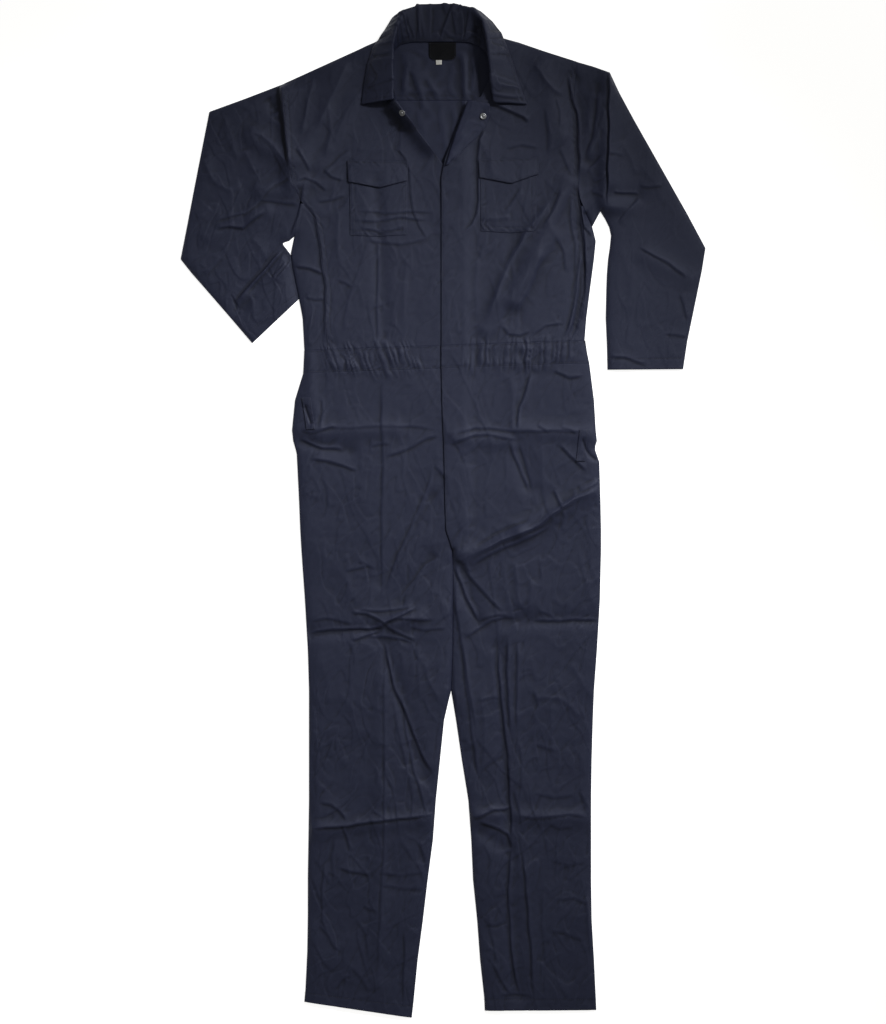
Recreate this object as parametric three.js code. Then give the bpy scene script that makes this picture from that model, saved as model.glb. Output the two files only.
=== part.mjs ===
// A boiler suit laid out flat on its back, front upwards, in millimetres.
// X runs to the wearer's left, Y from the hems to the collar and Z up from the surface it lies on.
// The back pieces lie flat on that surface. The front pieces lie on them as thin walls whose folds
// come from one height function, so that neighbours meet at their seams.
import * as THREE from "three";

// Driving dimensions
const CLOTH = 1.2; // wall of one layer of cloth
const SEAM = 0.3; // clear gap between pieces that meet
const UPPER = CLOTH + SEAM; // height of the upper layer's inside where it meets the lower one
const SWELL = 3.2; // air between the two layers, away from the edges
const SWELL_REACH = 22; // how far in from a closed edge the upper layer takes to rise
const COLLAR_CLOTH = 1.8; // collar: two plies and an interlining
const PATCH_CLOTH = 1.0; // pocket and flap walls
const SHOULDER_LEFT_X = 228;
const SHOULDER_RIGHT_X = -270;
const FRONT_EDGE_X = -3; // edge of the overlapping front
const UNDERLAP_X = 31; // how far the other front runs on beneath it
const CROTCH_Y = -65;
const FLY_END_Y = -31;
const YOKE_SEAM_Y = 700;
const NECK_SEAM_Y = 802;
const NAVY = 0x23263a;
const LABEL_BLACK = 0x15151a;
const TAB_WHITE = 0xe6e6e2;
const STUD_METAL = 0xb9bcc2;

// The waistband runs a little uphill towards the wearer's left.
const WAIST_SLOPE = 0.036;
const waistTop = (x) => 283 + WAIST_SLOPE * x;
const waistBottom = (x) => 244 + WAIST_SLOPE * x;

const mix = (a, b, t) => a + (b - a) * t;
const clamp01 = (t) => Math.min(1, Math.max(0, t));
const smooth = (t) => clamp01(t) ** 2 * (3 - 2 * clamp01(t));

// A short table: its column names, then a row of numbers for each section.
const table = (names, rows) =>
  rows.map((row) => Object.fromEntries(names.split(" ").map((name, k) => [name, row[k]])));

// Sections of the bodice fronts, from the shoulder to the waist. The side runs down the armhole and
// then the side seam; the centre runs down the neck edge and then the front edge.
const FRONT_RIGHT = table("sideX sideY centreX centreY", [
  [-270, 729, -88, 812],
  [-271, 700, -86, 764],
  [-269, 675, -84, 730],
  [-267, 650, -80, 697],
  [-265, 622, -41, 645],
  [-264, 595, -3, 595],
  [-257, 561, 20, 561],
  [-243, 530, UNDERLAP_X, 530],
  [-218, 500, UNDERLAP_X, 500],
  [-211, 469, UNDERLAP_X, 469],
  [-206, 428, UNDERLAP_X, 428],
  [-199, 377, UNDERLAP_X, 377],
  [-201, 330, UNDERLAP_X, 330],
  [-197, waistTop(-197), UNDERLAP_X, waistTop(UNDERLAP_X)],
]);
const FRONT_LEFT = table("sideX sideY centreX centreY", [
  [228, 766, 78, 814],
  [225, 733, 76, 770],
  [222, 700, 79, 735],
  [228, 675, 64, 706],
  [230, 655, 39, 694],
  [232, 634, 22, 650],
  [233, 599, 3, 599],
  [231, 570, FRONT_EDGE_X, 570],
  [230, 540, FRONT_EDGE_X, 540],
  [236, 508, FRONT_EDGE_X, 508],
  [238, 476, FRONT_EDGE_X, 476],
  [241, 430, FRONT_EDGE_X, 430],
  [242, 377, FRONT_EDGE_X, 377],
  [236, 330, FRONT_EDGE_X, 330],
  [216, waistTop(216), FRONT_EDGE_X, waistTop(FRONT_EDGE_X)],
]);
// Where the back comes round the side on to the front, from the underarm to the waist.
const WRAP_RIGHT = table("seamX seamY edgeX edgeY", [
  [-238, 524, -244.4, 524],
  [-218, 500, -250, 500],
  [-211, 469, -253, 469],
  [-208, 440, -259, 440],
  [-204, 415, -256, 415],
  [-199, 377, -248, 377],
  [-201, 330, -239, 330],
  [-197, waistTop(-197), -236, waistTop(-236)],
]);
const WRAP_LEFT = table("seamX seamY edgeX edgeY", [
  [233.8, 520, 238, 520],
  [236, 508, 243, 508],
  [237.5, 485, 254, 485],
  [240, 455, 260, 461],
  [241, 430, 257, 430],
  [242, 377, 250, 377],
  [236, 330, 244, 330],
  [216, waistTop(216), 241, waistTop(241)],
]);
// Sections of the legs, from the waist seam to the hem. The inner side is the front edge down to
// the crotch and the inside leg below it.
const LEG_RIGHT = table("sideX sideY innerX innerY", [
  [-238, waistBottom(-238), UNDERLAP_X, waistBottom(UNDERLAP_X)],
  [-252, 190, UNDERLAP_X, 190],
  [-257, 139, UNDERLAP_X, 139],
  [-255, 121, UNDERLAP_X, 121],
  [-249, 100, UNDERLAP_X, 100],
  [-245, 20, UNDERLAP_X, 20],
  [-243, -30, 28, FLY_END_Y],
  [-241, -65, 16, CROTCH_Y],
  [-235, -150, 15, -150],
  [-230, -235, 14, -235],
  [-228, -303, 12, -303],
  [-228, -354, 2, -354],
  [-228, -422, -5, -422],
  [-228, -490, -12, -490],
  [-229, -556, -17, -558],
  [-230, -622, -26, -626],
  [-230, -685, -34, -694],
  [-231, -748, -43, -762],
  [-234, -811, -50, -833],
  [-236, -833, -53, -860],
]);
const LEG_LEFT = table("sideX sideY innerX innerY", [
  [249, waistBottom(249), FRONT_EDGE_X, waistBottom(FRONT_EDGE_X)],
  [257, 190, -2, 190],
  [260, 139, 0, 139],
  [262, 121, 1, 121],
  [258, 108, 1, 108],
  [266, 85, 2, 85],
  [268, 20, 3, 20],
  [269, -30, 5, FLY_END_Y],
  [269, -65, 18, CROTCH_Y],
  [267, -150, 18, -150],
  [262, -235, 17, -235],
  [257, -303, 15, -303],
  [255, -354, 22, -354],
  [253, -422, 32, -422],
  [252, -490, 43, -490],
  [252, -558, 48, -558],
  [252, -626, 51, -626],
  [253, -694, 58, -694],
  [257, -762, 63, -762],
  [260, -826, 70, -826],
  [261, -847, 71, -848],
]);
// Sections of the sleeves, from the armhole to the cuff: the folded outer edge, with the elbow's
// corners, and the inner edge.
const SLEEVE_RIGHT = table("outerX outerY innerX innerY", [
  [-270, 729, -253, 469],
  [-335, 704, -263, 466],
  [-398, 681, -269, 463],
  [-411, 615, -272, 460],
  [-423, 554, -273, 457],
  [-435, 491, -272, 454],
  [-447, 430, -268, 447],
  [-428, 406, -264, 437],
  [-406, 381, -260, 424],
  [-366, 335, -254, 396],
  [-325, 287, -247.5, 363],
]);
const SLEEVE_LEFT = table("outerX outerY innerX innerY", [
  [228, 766, 254, 485],
  [256, 758, 262, 500],
  [284, 748, 268, 511],
  [300, 714, 276, 498],
  [326, 666, 283, 484],
  [356, 613, 286, 470],
  [386, 560, 284, 450],
  [416, 507, 281, 430],
  [447, 449, 279, 405],
  [441, 411, 278, 377],
  [427, 343, 277, 330],
  [416, 290, 279, 285],
  [409, 243, 280, 242],
]);
// The armholes, from the shoulder down to the underarm and on to where the back's side begins.
const ARMHOLE_RIGHT = table("x y", [
  [-270, 729], [-271, 700], [-269, 675], [-267, 650], [-265, 622], [-264, 595],
  [-257, 561], [-243, 530], [-250, 500], [-253, 469],
]);
const ARMHOLE_LEFT = table("x y", [
  [228, 766], [222, 700], [228, 675], [232, 634], [233, 599], [231, 570],
  [230, 540], [243, 508], [254, 485],
]);
// The collar, from the wearer's right end round the back to the left end: the seam on the neck, the
// fold where it rolls over, and the outer edge. roll is the fold's height above the surface.
const COLLAR = table("seamX seamY rollX rollY roll edgeX edgeY", [
  [-90, 698, -84, 698, 26, -139, 692],
  [-91, 724, -84, 726, 26, -135, 723],
  [-92, 752, -85, 757, 26, -129, 758],
  [-88, 781, -84, 795, 26, -119, 789],
  [-70, 796, -78, 826, 24, -104, 812],
  [-52, 800, -68, 848, 19, -88, 838],
  [-28, 800, -38, 861, 15, -36, 836],
  [0, 800, 0, 862, 14, 0, 835],
  [24, 800, 26, 861, 15, 25, 836],
  [44, 799, 50, 853, 20, 68, 848],
  [60, 793, 66, 833, 27, 84, 834],
  [72, 781, 73, 806, 31, 99, 815],
  [86, 758, 77, 768, 31, 118, 765],
  [86, 736, 81, 730, 26, 130, 727],
  [84, 706, 86, 695, 18, 143, 692],
]);
// The front facing that is turned out at the neck, from the bottom of the opening up.
const FACING_LEFT = table("foldX foldY edgeX edgeY", [
  [4, 588, 11, 590],
  [11, 612, 32, 612],
  [21, 642, 58, 637],
  [30, 667, 72, 655],
  [38, 688, 80, 676],
  [42, 699, 79, 693],
]);
const POCKET_RIGHT = { outerX: -160, innerX: -61, topRow: 5, flapRow: 6, bottomRow: 9, point: 11 };
const POCKET_LEFT = { outerX: 161, innerX: 61, topRow: 6, flapRow: 7, bottomRow: 10, point: 12 };

// The largest folds. Each is a soft ridge (height above 0) or trough (below 0) along a line, with
// its own width on the left and on the right of the way from start to end.
const FOLDS = table("x1 y1 x2 y2 height left right", [
  [-80, 700, -8, 594, 13, 40, 14], // neck edge standing up, wearer's right
  [4, 590, 42, 697, 9, 14, 40], // neck edge standing up, wearer's left
  [-100, 800, -84, 710, 3, 28, 40], // under the collar, right
  [92, 806, 84, 710, 4, 45, 28], // under the collar, left
  [-268, 712, -258, 560, 6, 42, 13], // sleeve head, right
  [281, 745, 277, 520, 8, 34, 13], // fold in the left sleeve
  [222, 740, 232, 600, -2.5, 14, 14], // left armhole
  [-180, 760, -235, 600, 3, 18, 22],
  [-150, 700, -205, 590, 2.5, 16, 18],
  [170, 760, 200, 640, 3, 16, 20],
  [215, 560, 120, 360, 4, 14, 20], // drag lines, left chest
  [190, 470, 75, 310, 3, 14, 18],
  [238, 480, 236, 330, -2.5, 14, 14],
  [-100, 300, -112, 560, -2, 13, 13], // press fold, right front
  [115, 330, 122, 470, -1.5, 13, 13],
  [-245, 135, -80, 141, 2.5, 16, 14], // packing fold across the hips, right
  [20, 128, 130, 120, 4, 16, 14], // packing fold across the hips, left
  [130, 140, 250, 132, 2.5, 14, 14],
  [-240, 122, -160, 105, -2.5, 13, 13],
  [130, 120, 145, 45, -2.5, 13, 13],
  [30, -75, 130, -30, 5, 14, 18], // drag line from the crotch to the left hip
  [130, -30, 262, 40, 5, 14, 18],
  [-20, 25, -105, -120, -2, 13, 13],
  [-20, -75, -75, -150, -2, 13, 13],
  [24, -90, 62, -190, -2.5, 13, 13],
  [-225, -203, -100, -195, -3, 13, 15], // packing fold above the knees
  [-100, -192, -40, -178, 4, 15, 13],
  [110, -186, 262, -180, -2.5, 13, 13],
  [-98, -225, -30, -450, -2.5, 13, 13], // long crease, right leg
  [95, -230, 112, -520, -2.5, 13, 14], // press fold, left leg
  [112, -520, 128, -820, -2.5, 13, 14],
  [-104, -280, -110, -800, 1.8, 13, 15], // press fold, right leg
  [-220, -540, -30, -520, 3, 13, 14], // packing fold at the shins
  [50, -515, 240, -520, 3, 13, 14],
  [65, -545, 105, -570, -2.5, 13, 13],
  [-400, 470, -300, 512, 3, 14, 16], // right elbow
  [-310, 545, -258, 545, 3, 13, 15],
  [-345, 350, -272, 450, -3, 14, 14],
  [-330, 640, -262, 590, 3, 16, 14],
  [262, 700, 236, 590, 3, 14, 18],
  [286, 540, 330, 540, -2.5, 13, 13], // left elbow
  [345, 435, 420, 398, 2, 14, 16],
  [-230, 262, -215, 130, 2, 13, 15],
]);

// How far a point lies from a straight stretch: across it, past its ends and straight to it.
function fromLine(x, y, x1, y1, x2, y2) {
  const dx = x2 - x1;
  const dy = y2 - y1;
  const length = Math.hypot(dx, dy);
  const along = ((x - x1) * dx + (y - y1) * dy) / length;
  const across = ((x - x1) * dy - (y - y1) * dx) / length; // positive on the right
  const past = Math.max(0, -along, along - length);
  return { across, past, away: Math.hypot(across, past) };
}

// The closed edges: every fold and seam of the outline where the two layers meet.
const columns = (rows, x, y) => rows.map((row) => [row[x], row[y]]);
const CLOSED_EDGES = [
  columns(WRAP_RIGHT.slice(2), "edgeX", "edgeY"),
  columns(WRAP_LEFT.slice(1), "edgeX", "edgeY"),
  [[-236, 283], [-238, 235], ...columns(LEG_RIGHT.slice(1), "sideX", "sideY"), [-236, -900]],
  [[241, 292], [249, 253], ...columns(LEG_LEFT.slice(1), "sideX", "sideY"), [261, -900]],
  [...columns(LEG_RIGHT.slice(7), "innerX", "innerY"), [-53, -900]],
  [...columns(LEG_LEFT.slice(8), "innerX", "innerY"), [71, -900]],
  columns(SLEEVE_RIGHT, "outerX", "outerY"),
  columns(SLEEVE_RIGHT, "innerX", "innerY"),
  columns(SLEEVE_LEFT, "outerX", "outerY"),
  columns(SLEEVE_LEFT, "innerX", "innerY"),
  [[-270, 729], [-88, 812]],
  [[78, 814], [228, 766]],
];

function edgeDistance(x, y) {
  let nearest = Infinity;
  for (const line of CLOSED_EDGES)
    for (let k = 1; k < line.length; k++)
      nearest = Math.min(nearest, fromLine(x, y, ...line[k - 1], ...line[k]).away);
  return nearest;
}

function foldHeight(x, y) {
  let sum = 0;
  for (const f of FOLDS) {
    const at = fromLine(x, y, f.x1, f.y1, f.x2, f.y2);
    const width = at.across < 0 ? f.left : f.right;
    sum += f.height * Math.exp(-((at.across / width) ** 2) - (at.past / width) ** 2);
  }
  return sum;
}

// Height of the inside of the upper layer above the surface.
function upper(x, y) {
  const inwards = clamp01(edgeDistance(x, y) / SWELL_REACH);
  const round = Math.sqrt(1 - (1 - inwards) ** 2);
  return UPPER + Math.max(0, round * (SWELL + foldHeight(x, y)));
}

// The upper layer rises over the other front beneath the overlap.
const OVERLAP_RISE = 2.5;
const NECK_RISE = 6; // more of it at the bottom of the neck, where both fronts stand up
function overlap(x, y) {
  const aboveCrotch = smooth((y - CROTCH_Y + 30) / 30);
  const belowNeck = 1 - smooth((y - 600) / 50);
  const rise = OVERLAP_RISE + NECK_RISE * smooth((y - 510) / 50);
  return rise * (1 - smooth((x - UNDERLAP_X - 3) / 25)) * aboveCrotch * belowNeck;
}

// Reads a table between its rows, at a place counted in rows.
function between(rows, place) {
  const k = Math.min(rows.length - 2, Math.floor(place));
  const t = place - k;
  return Object.fromEntries(
    Object.keys(rows[0]).map((name) => [name, mix(rows[k][name], rows[k + 1][name], t)]),
  );
}

// Places down a table, with stretches longer than step divided evenly.
function places(rows, x, y, step) {
  const found = [];
  rows.slice(1).forEach((row, k) => {
    const length = Math.hypot(row[x] - rows[k][x], row[y] - rows[k][y]);
    const parts = Math.max(1, Math.round(length / step));
    for (let i = 0; i < parts; i++) found.push(k + i / parts);
  });
  return [...found, rows.length - 1];
}

// Unit normals of a grid of points, pointing up from the inside of the cloth.
function normals(grid) {
  return grid.map((row, i) =>
    row.map((_, j) => {
      const alongRow = grid[i][Math.min(j + 1, row.length - 1)].clone().sub(grid[i][Math.max(j - 1, 0)]);
      const next = grid[Math.min(i + 1, grid.length - 1)][j];
      const acrossRows = next.clone().sub(grid[Math.max(i - 1, 0)][j]);
      return alongRow.cross(acrossRows).normalize();
    }),
  );
}

// A closed mesh from a list of corner points, turned so that its faces point outwards.
function closedMesh(name, points, triangles, colour) {
  const signed = ([a, b, c]) => points[a].dot(points[b].clone().cross(points[c]));
  const volume = triangles.reduce((sum, corners) => sum + signed(corners), 0);
  const turned = volume < 0 ? triangles.map(([a, b, c]) => [a, c, b]) : triangles;
  const geometry = new THREE.BufferGeometry();
  const position = new Float32Array(points.flatMap((p) => [p.x, p.y, p.z]));
  geometry.setAttribute("position", new THREE.BufferAttribute(position, 3));
  geometry.setIndex(turned.flat());
  geometry.computeVertexNormals();
  return namedMesh(name, geometry, colour);
}

function namedMesh(name, geometry, colour = NAVY, metal = false) {
  const material = new THREE.MeshStandardMaterial({
    color: colour,
    roughness: metal ? 0.35 : 0.9,
    metalness: metal ? 1 : 0,
  });
  const mesh = new THREE.Mesh(geometry, material);
  mesh.name = name;
  return mesh;
}

// The closed wall between an inner and an outer grid of points. The rows of a round grid are rings.
function wallBetween(name, inner, outer, colour = NAVY, round = false) {
  const rows = inner.length;
  const width = inner[0].length;
  const cells = round ? width : width - 1;
  const points = [...inner.flat(), ...outer.flat()];
  const low = (i, j) => i * width + (j % width);
  const high = (i, j) => rows * width + low(i, j);
  const triangles = [];
  const quad = (a, b, c, d) => triangles.push([a, b, c], [a, c, d]);
  for (let i = 0; i < rows - 1; i++) {
    for (let j = 0; j < cells; j++) {
      quad(high(i, j), high(i, j + 1), high(i + 1, j + 1), high(i + 1, j));
      quad(low(i, j), low(i + 1, j), low(i + 1, j + 1), low(i, j + 1));
    }
    if (!round) {
      quad(low(i, 0), high(i, 0), high(i + 1, 0), low(i + 1, 0));
      quad(low(i + 1, cells), high(i + 1, cells), high(i, cells), low(i, cells));
    }
  }
  const last = rows - 1;
  for (let j = 0; j < cells; j++) {
    quad(low(0, j + 1), high(0, j + 1), high(0, j), low(0, j));
    quad(low(last, j), high(last, j), high(last, j + 1), low(last, j + 1));
  }
  return closedMesh(name, points, triangles, colour);
}

// Moves a grid out along its normals, away from the surface, by a distance that may change by row.
function movedOut(grid, distance, perRow = 0) {
  const facing = normals(grid);
  const sign = Math.sign(facing.flat().reduce((sum, n) => sum + n.z, 0));
  return grid.map((row, i) =>
    row.map((p, j) => p.clone().addScaledVector(facing[i][j], sign * (distance + i * perRow))),
  );
}

const sheet = (name, grid, wall = CLOTH, colour = NAVY) =>
  wallBetween(name, grid, movedOut(grid, wall), colour);

// A grid of points of the upper layer from a table of sections. The first four columns of the table
// are the sections' ends, and across gives the shares of the way between them.
function upperGrid(rows, across, step, rise = () => 0) {
  const [lx, ly, rx, ry] = Object.keys(rows[0]);
  return places(rows, lx, ly, step).map((place) => {
    const at = between(rows, place);
    return across(at, place).map((share) => {
      const x = mix(at[lx], at[rx], share);
      const y = mix(at[ly], at[ry], share);
      return new THREE.Vector3(x, y, upper(x, y) + rise(x, y));
    });
  });
}

const evenly = (count) => Array.from({ length: count + 1 }, (_, k) => k / count);

// A bodice front with its chest pocket and flap, which are made from the front's own points. Its
// columns are the ones outside the pocket, across it and inside it.
const OUTER_COLUMNS = 4;
const POCKET_COLUMNS = 6;
const INNER_COLUMNS = 4;
const ROW_STEP = 22;
const FLAP_STAND = 0.5; // how much further the flap stands off with each row
function pocketColumns(pocket, top) {
  const shareOf = (x, at) => (x - at.sideX) / (at.centreX - at.sideX);
  return (at, place) => {
    const from = place < pocket.topRow ? top : at;
    const a = shareOf(pocket.outerX, from);
    const b = shareOf(pocket.innerX, from);
    return [
      ...evenly(OUTER_COLUMNS).map((t) => mix(0, a, t)),
      ...evenly(POCKET_COLUMNS).slice(1).map((t) => mix(a, b, t)),
      ...evenly(INNER_COLUMNS).slice(1).map((t) => mix(b, 1, t)),
    ];
  };
}
function bodiceFront(side, rows, pocket, rise) {
  const down = places(rows, "sideX", "sideY", ROW_STEP);
  const grid = upperGrid(rows, pocketColumns(pocket, rows[pocket.topRow]), ROW_STEP, rise);
  const firstColumn = OUTER_COLUMNS;
  const lastColumn = OUTER_COLUMNS + POCKET_COLUMNS;
  const topRow = down.indexOf(pocket.topRow);
  const flapRow = down.indexOf(pocket.flapRow);
  const bottomRow = down.indexOf(pocket.bottomRow);
  // The row at the flap's edge dips to the flap's point.
  for (let j = firstColumn; j <= lastColumn; j++) {
    const p = grid[flapRow][j];
    p.y -= pocket.point * (1 - Math.abs((2 * (j - firstColumn)) / POCKET_COLUMNS - 1));
    p.z = upper(p.x, p.y) + rise(p.x, p.y);
  }
  const cut = (surface, lastRow) =>
    surface.slice(topRow, lastRow + 1).map((row) => row.slice(firstColumn, lastColumn + 1));
  const patch = (name, lastRow, inside, perRow) => {
    const start = inside - topRow * perRow;
    const inner = cut(movedOut(grid, start, perRow), lastRow);
    const outer = cut(movedOut(grid, start + PATCH_CLOTH, perRow), lastRow);
    return wallBetween(`${name}_${side}`, inner, outer);
  };
  const onFront = CLOTH + SEAM;
  const onPocket = onFront + PATCH_CLOTH + SEAM;
  return [
    sheet(`front_${side}`, grid),
    patch("chest_pocket", bottomRow, onFront, 0),
    patch("chest_flap", flapRow, onPocket, FLAP_STAND),
  ];
}

// Draws a table's first section down and its last one up, clear of the seams there.
function lowered(row, by) {
  const moved = ([name, value]) => [name, name.endsWith("Y") ? value - by : value];
  return Object.fromEntries(Object.entries(row).map(moved));
}
const clearOfSeams = (rows, top, bottom) => [
  lowered(rows[0], top ? SEAM / 2 : 0),
  ...rows.slice(1, -1),
  lowered(rows.at(-1), bottom ? -SEAM / 2 : 0),
];

// The side of the body where the back comes round on to the front.
function backWrap(side, rows, outwards) {
  const clear = rows.map((row) => ({ ...row, seamX: row.seamX + outwards * 2 * SEAM }));
  const grid = upperGrid(clear, () => evenly(3), 40);
  return sheet(`back_wrap_${side}`, grid);
}

// The elastic waistband's front half: gathers of uneven pitch and height, none in the plain ends.
const GATHER_HEIGHT = 2.6;
const GATHER_PITCH = 11;
const GATHER_STEPS = 3.8; // points across one gather
function gathers(x, from, to) {
  const t = (x - from) / (to - from);
  const ends = smooth(t / 0.12) * smooth((1 - t) / 0.12);
  const pitch = GATHER_PITCH * (1 + 0.2 * Math.sin(x / 23));
  const height = GATHER_HEIGHT * (0.8 + 0.35 * Math.sin(x / 17));
  return ends * height * (0.5 + 0.5 * Math.cos((2 * Math.PI * (x - from)) / pitch));
}

function frontWaistband(side, fromX, toX, gatherFrom, gatherTo, rise) {
  const count = Math.round((GATHER_STEPS * (toX - fromX)) / GATHER_PITCH);
  const grid = [0, 0.5, 1].map((v) =>
    evenly(count).map((u) => {
      const x = mix(fromX, toX, u);
      const y = mix(waistTop(x) - SEAM, waistBottom(x) + SEAM, v);
      const full = v === 0.5 ? 1 : 0.6; // flatter at the seams
      const lift = rise(x, y) + full * gathers(x, gatherFrom, gatherTo);
      return new THREE.Vector3(x, y, upper(x, y) + lift);
    }),
  );
  return sheet(`front_waistband_${side}`, grid);
}

// A flat piece of the lower layer, resting on the surface, from its outline.
function flatPiece(name, outline) {
  const shape = new THREE.Shape(outline.map(([x, y]) => new THREE.Vector2(x, y)));
  const geometry = new THREE.ExtrudeGeometry(shape, { depth: CLOTH, bevelEnabled: false });
  return namedMesh(name, geometry);
}

// Folds of the yoke that show inside the neck.
const NECK_FOLDS = table("x1 y1 x2 y2 height width", [
  [33, 780, 39, 712, 3, 7],
  [-62, 775, -66, 715, 2, 9],
  [-46, 765, -36, 712, 2.4, 9],
  [-30, 742, -12, 712, 2, 9],
]);
function yokeWall(x, y) {
  const sum = NECK_FOLDS.reduce((total, f) => {
    const { away } = fromLine(x, y, f.x1, f.y1, f.x2, f.y2);
    return total + f.height * Math.exp(-((away / f.width) ** 2));
  }, 0);
  return CLOTH + smooth((790 - y) / 15) * smooth((66 - Math.abs(x + 6)) / 20) * sum;
}

// The yoke across the back, from its seam up to the shoulders and the neck.
const YOKE_TOP = table("topX topY seamX seamY", [
  [-270, 728, -271, YOKE_SEAM_Y],
  [-204, 757, -204, YOKE_SEAM_Y],
  [-129, 794, -129, YOKE_SEAM_Y],
  [-88, 811, -88, YOKE_SEAM_Y],
  [-60, NECK_SEAM_Y, -60, YOKE_SEAM_Y],
  [48, NECK_SEAM_Y, 48, YOKE_SEAM_Y],
  [78, 813, 78, YOKE_SEAM_Y],
  [129, 799, 129, YOKE_SEAM_Y],
  [228, 765, 222, YOKE_SEAM_Y],
]);
function backYoke() {
  const grid = places(YOKE_TOP, "topX", "topY", 11).map((place) => {
    const at = between(YOKE_TOP, place);
    return evenly(5).map((v) => {
      const y = mix(at.seamY + SEAM / 2, at.topY, v);
      return new THREE.Vector3(mix(at.seamX, at.topX, v), y, 0);
    });
  });
  const over = grid.map((row) => row.map((p) => new THREE.Vector3(p.x, p.y, yokeWall(p.x, p.y))));
  return wallBetween("back_yoke", grid, over);
}

function backBody() {
  const side = (armhole, wrap, seamX) => {
    const below = armhole.filter(({ y }) => y < YOKE_SEAM_Y);
    const down = columns(wrap.slice(3), "edgeX", "edgeY");
    down.at(-1)[1] += SEAM / 2;
    return [[seamX, YOKE_SEAM_Y - SEAM / 2], ...columns(below, "x", "y"), ...down];
  };
  const right = side(ARMHOLE_RIGHT, WRAP_RIGHT, -271);
  const left = side(ARMHOLE_LEFT, WRAP_LEFT, 222);
  return flatPiece("back_body", [...right, ...left.reverse()]);
}

const backWaistband = () =>
  flatPiece("back_waistband", [
    [-236, waistTop(-236) - SEAM / 2],
    [-238, waistBottom(-238) + SEAM / 2],
    [249, waistBottom(249) + SEAM / 2],
    [241, waistTop(241) - SEAM / 2],
  ]);

// The seam down the seat, where the backs of the two legs meet.
const SEAT_SEAM = [[8, waistBottom(8)], [9, 120], [12, 0], [16.5, CROTCH_Y]];
function backLeg(side, rows, outwards) {
  const seat = SEAT_SEAM.map(([x, y]) => [x + (outwards * SEAM) / 2, y]);
  seat[0][1] -= SEAM / 2;
  const inside = columns(rows.filter((row) => row.innerY < CROTCH_Y), "innerX", "innerY");
  const outside = columns(clearOfSeams(rows, true, false), "sideX", "sideY");
  return flatPiece(`back_leg_${side}`, [...seat, ...inside, ...outside.reverse()]);
}

const LEG_ACROSS = 12;
const LEG_STEP = 36;
function frontLeg(side, rows, rise) {
  const clear = clearOfSeams(rows, true, false);
  return sheet(`front_leg_${side}`, upperGrid(clear, () => evenly(LEG_ACROSS), LEG_STEP, rise));
}

// A sleeve: a flattened tube lying on the surface, from the armhole to the open cuff. Its columns
// start at the armhole's own points, and each closed edge has two more beside it.
const SLEEVE_STEP = 44;
const SLEEVE_SET_OFF = 3 * SEAM; // clear of the body at the armhole
const HOLE_REACH = 2; // sections over which the tube gives up the armhole's curve
const WALL_SHARE = 0.012; // share of the width that the wall takes at each closed edge
function sleeve(side, rows, armhole, sideways) {
  const steps = armhole.length - 1;
  const even = evenly(steps);
  const shares = [0, 0.03, 0.06, ...even.slice(1, -1), 0.94, 0.97, 1];
  const plan = (place, t) => {
    const at = between(rows, place);
    const hole = between(armhole, t * steps);
    const bend = 1 - smooth(place / HOLE_REACH);
    const straightX = mix(rows[0].outerX, rows[0].innerX, t);
    const straightY = mix(rows[0].outerY, rows[0].innerY, t);
    return [
      mix(at.outerX, at.innerX, t) + bend * (hole.x - straightX) + sideways * SLEEVE_SET_OFF,
      mix(at.outerY, at.innerY, t) + bend * (hole.y - straightY),
    ];
  };
  const ring = (place, inwards, over, under) => {
    const points = shares.map((t) => plan(place, mix(t, 0.5, inwards)));
    return [
      ...points.map(([x, y]) => new THREE.Vector3(x, y, upper(x, y) + over)),
      ...points.map(([x, y]) => new THREE.Vector3(x, y, under)).reverse(),
    ];
  };
  const stations = places(rows, "outerX", "outerY", SLEEVE_STEP);
  const outer = stations.map((place) => ring(place, 0, CLOTH, 0));
  const inner = stations.map((place) => ring(place, WALL_SHARE, 0, CLOTH));
  return wallBetween(`sleeve_${side}`, inner, outer, NAVY, true);
}

// The collar: a strip whose sections stand up from the neck seam, roll over and come down outside.
const COLLAR_STATIONS = 30;
const COLLAR_POINTS = 9;
const COLLAR_LIFT = COLLAR_CLOTH / 2 + 4 * SEAM;
const NECK_SEAM_EASE = 2.6; // where the neck edge stands steeply
function collar() {
  const grid = evenly(COLLAR_STATIONS).map((u) => {
    const at = between(COLLAR, u * (COLLAR.length - 1));
    const seamBase = mix(upper(at.seamX, at.seamY), 0, smooth((at.seamY - 784) / 10));
    const edgeBase = mix(upper(at.edgeX, at.edgeY) + CLOTH, 0, smooth((at.edgeY - 808) / 12));
    const ease = NECK_SEAM_EASE * smooth((740 - at.seamY) / 20);
    const seam = new THREE.Vector3(at.seamX, at.seamY, seamBase + CLOTH + COLLAR_LIFT + ease);
    const edge = new THREE.Vector3(at.edgeX, at.edgeY, edgeBase + COLLAR_LIFT);
    const roll = new THREE.Vector3(at.rollX, at.rollY, at.roll);
    const stand = seam.clone().lerp(roll, 0.55);
    stand.z += 0.12 * (at.roll - seam.z);
    const fall = roll.clone().lerp(edge, 0.5);
    fall.z += 0.1 * (at.roll - edge.z);
    const line = new THREE.CatmullRomCurve3([seam, stand, roll, fall, edge], false, "centripetal");
    return line.getSpacedPoints(COLLAR_POINTS);
  });
  const half = COLLAR_CLOTH / 2;
  return wallBetween("collar", movedOut(grid, -half), movedOut(grid, half));
}

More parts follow.
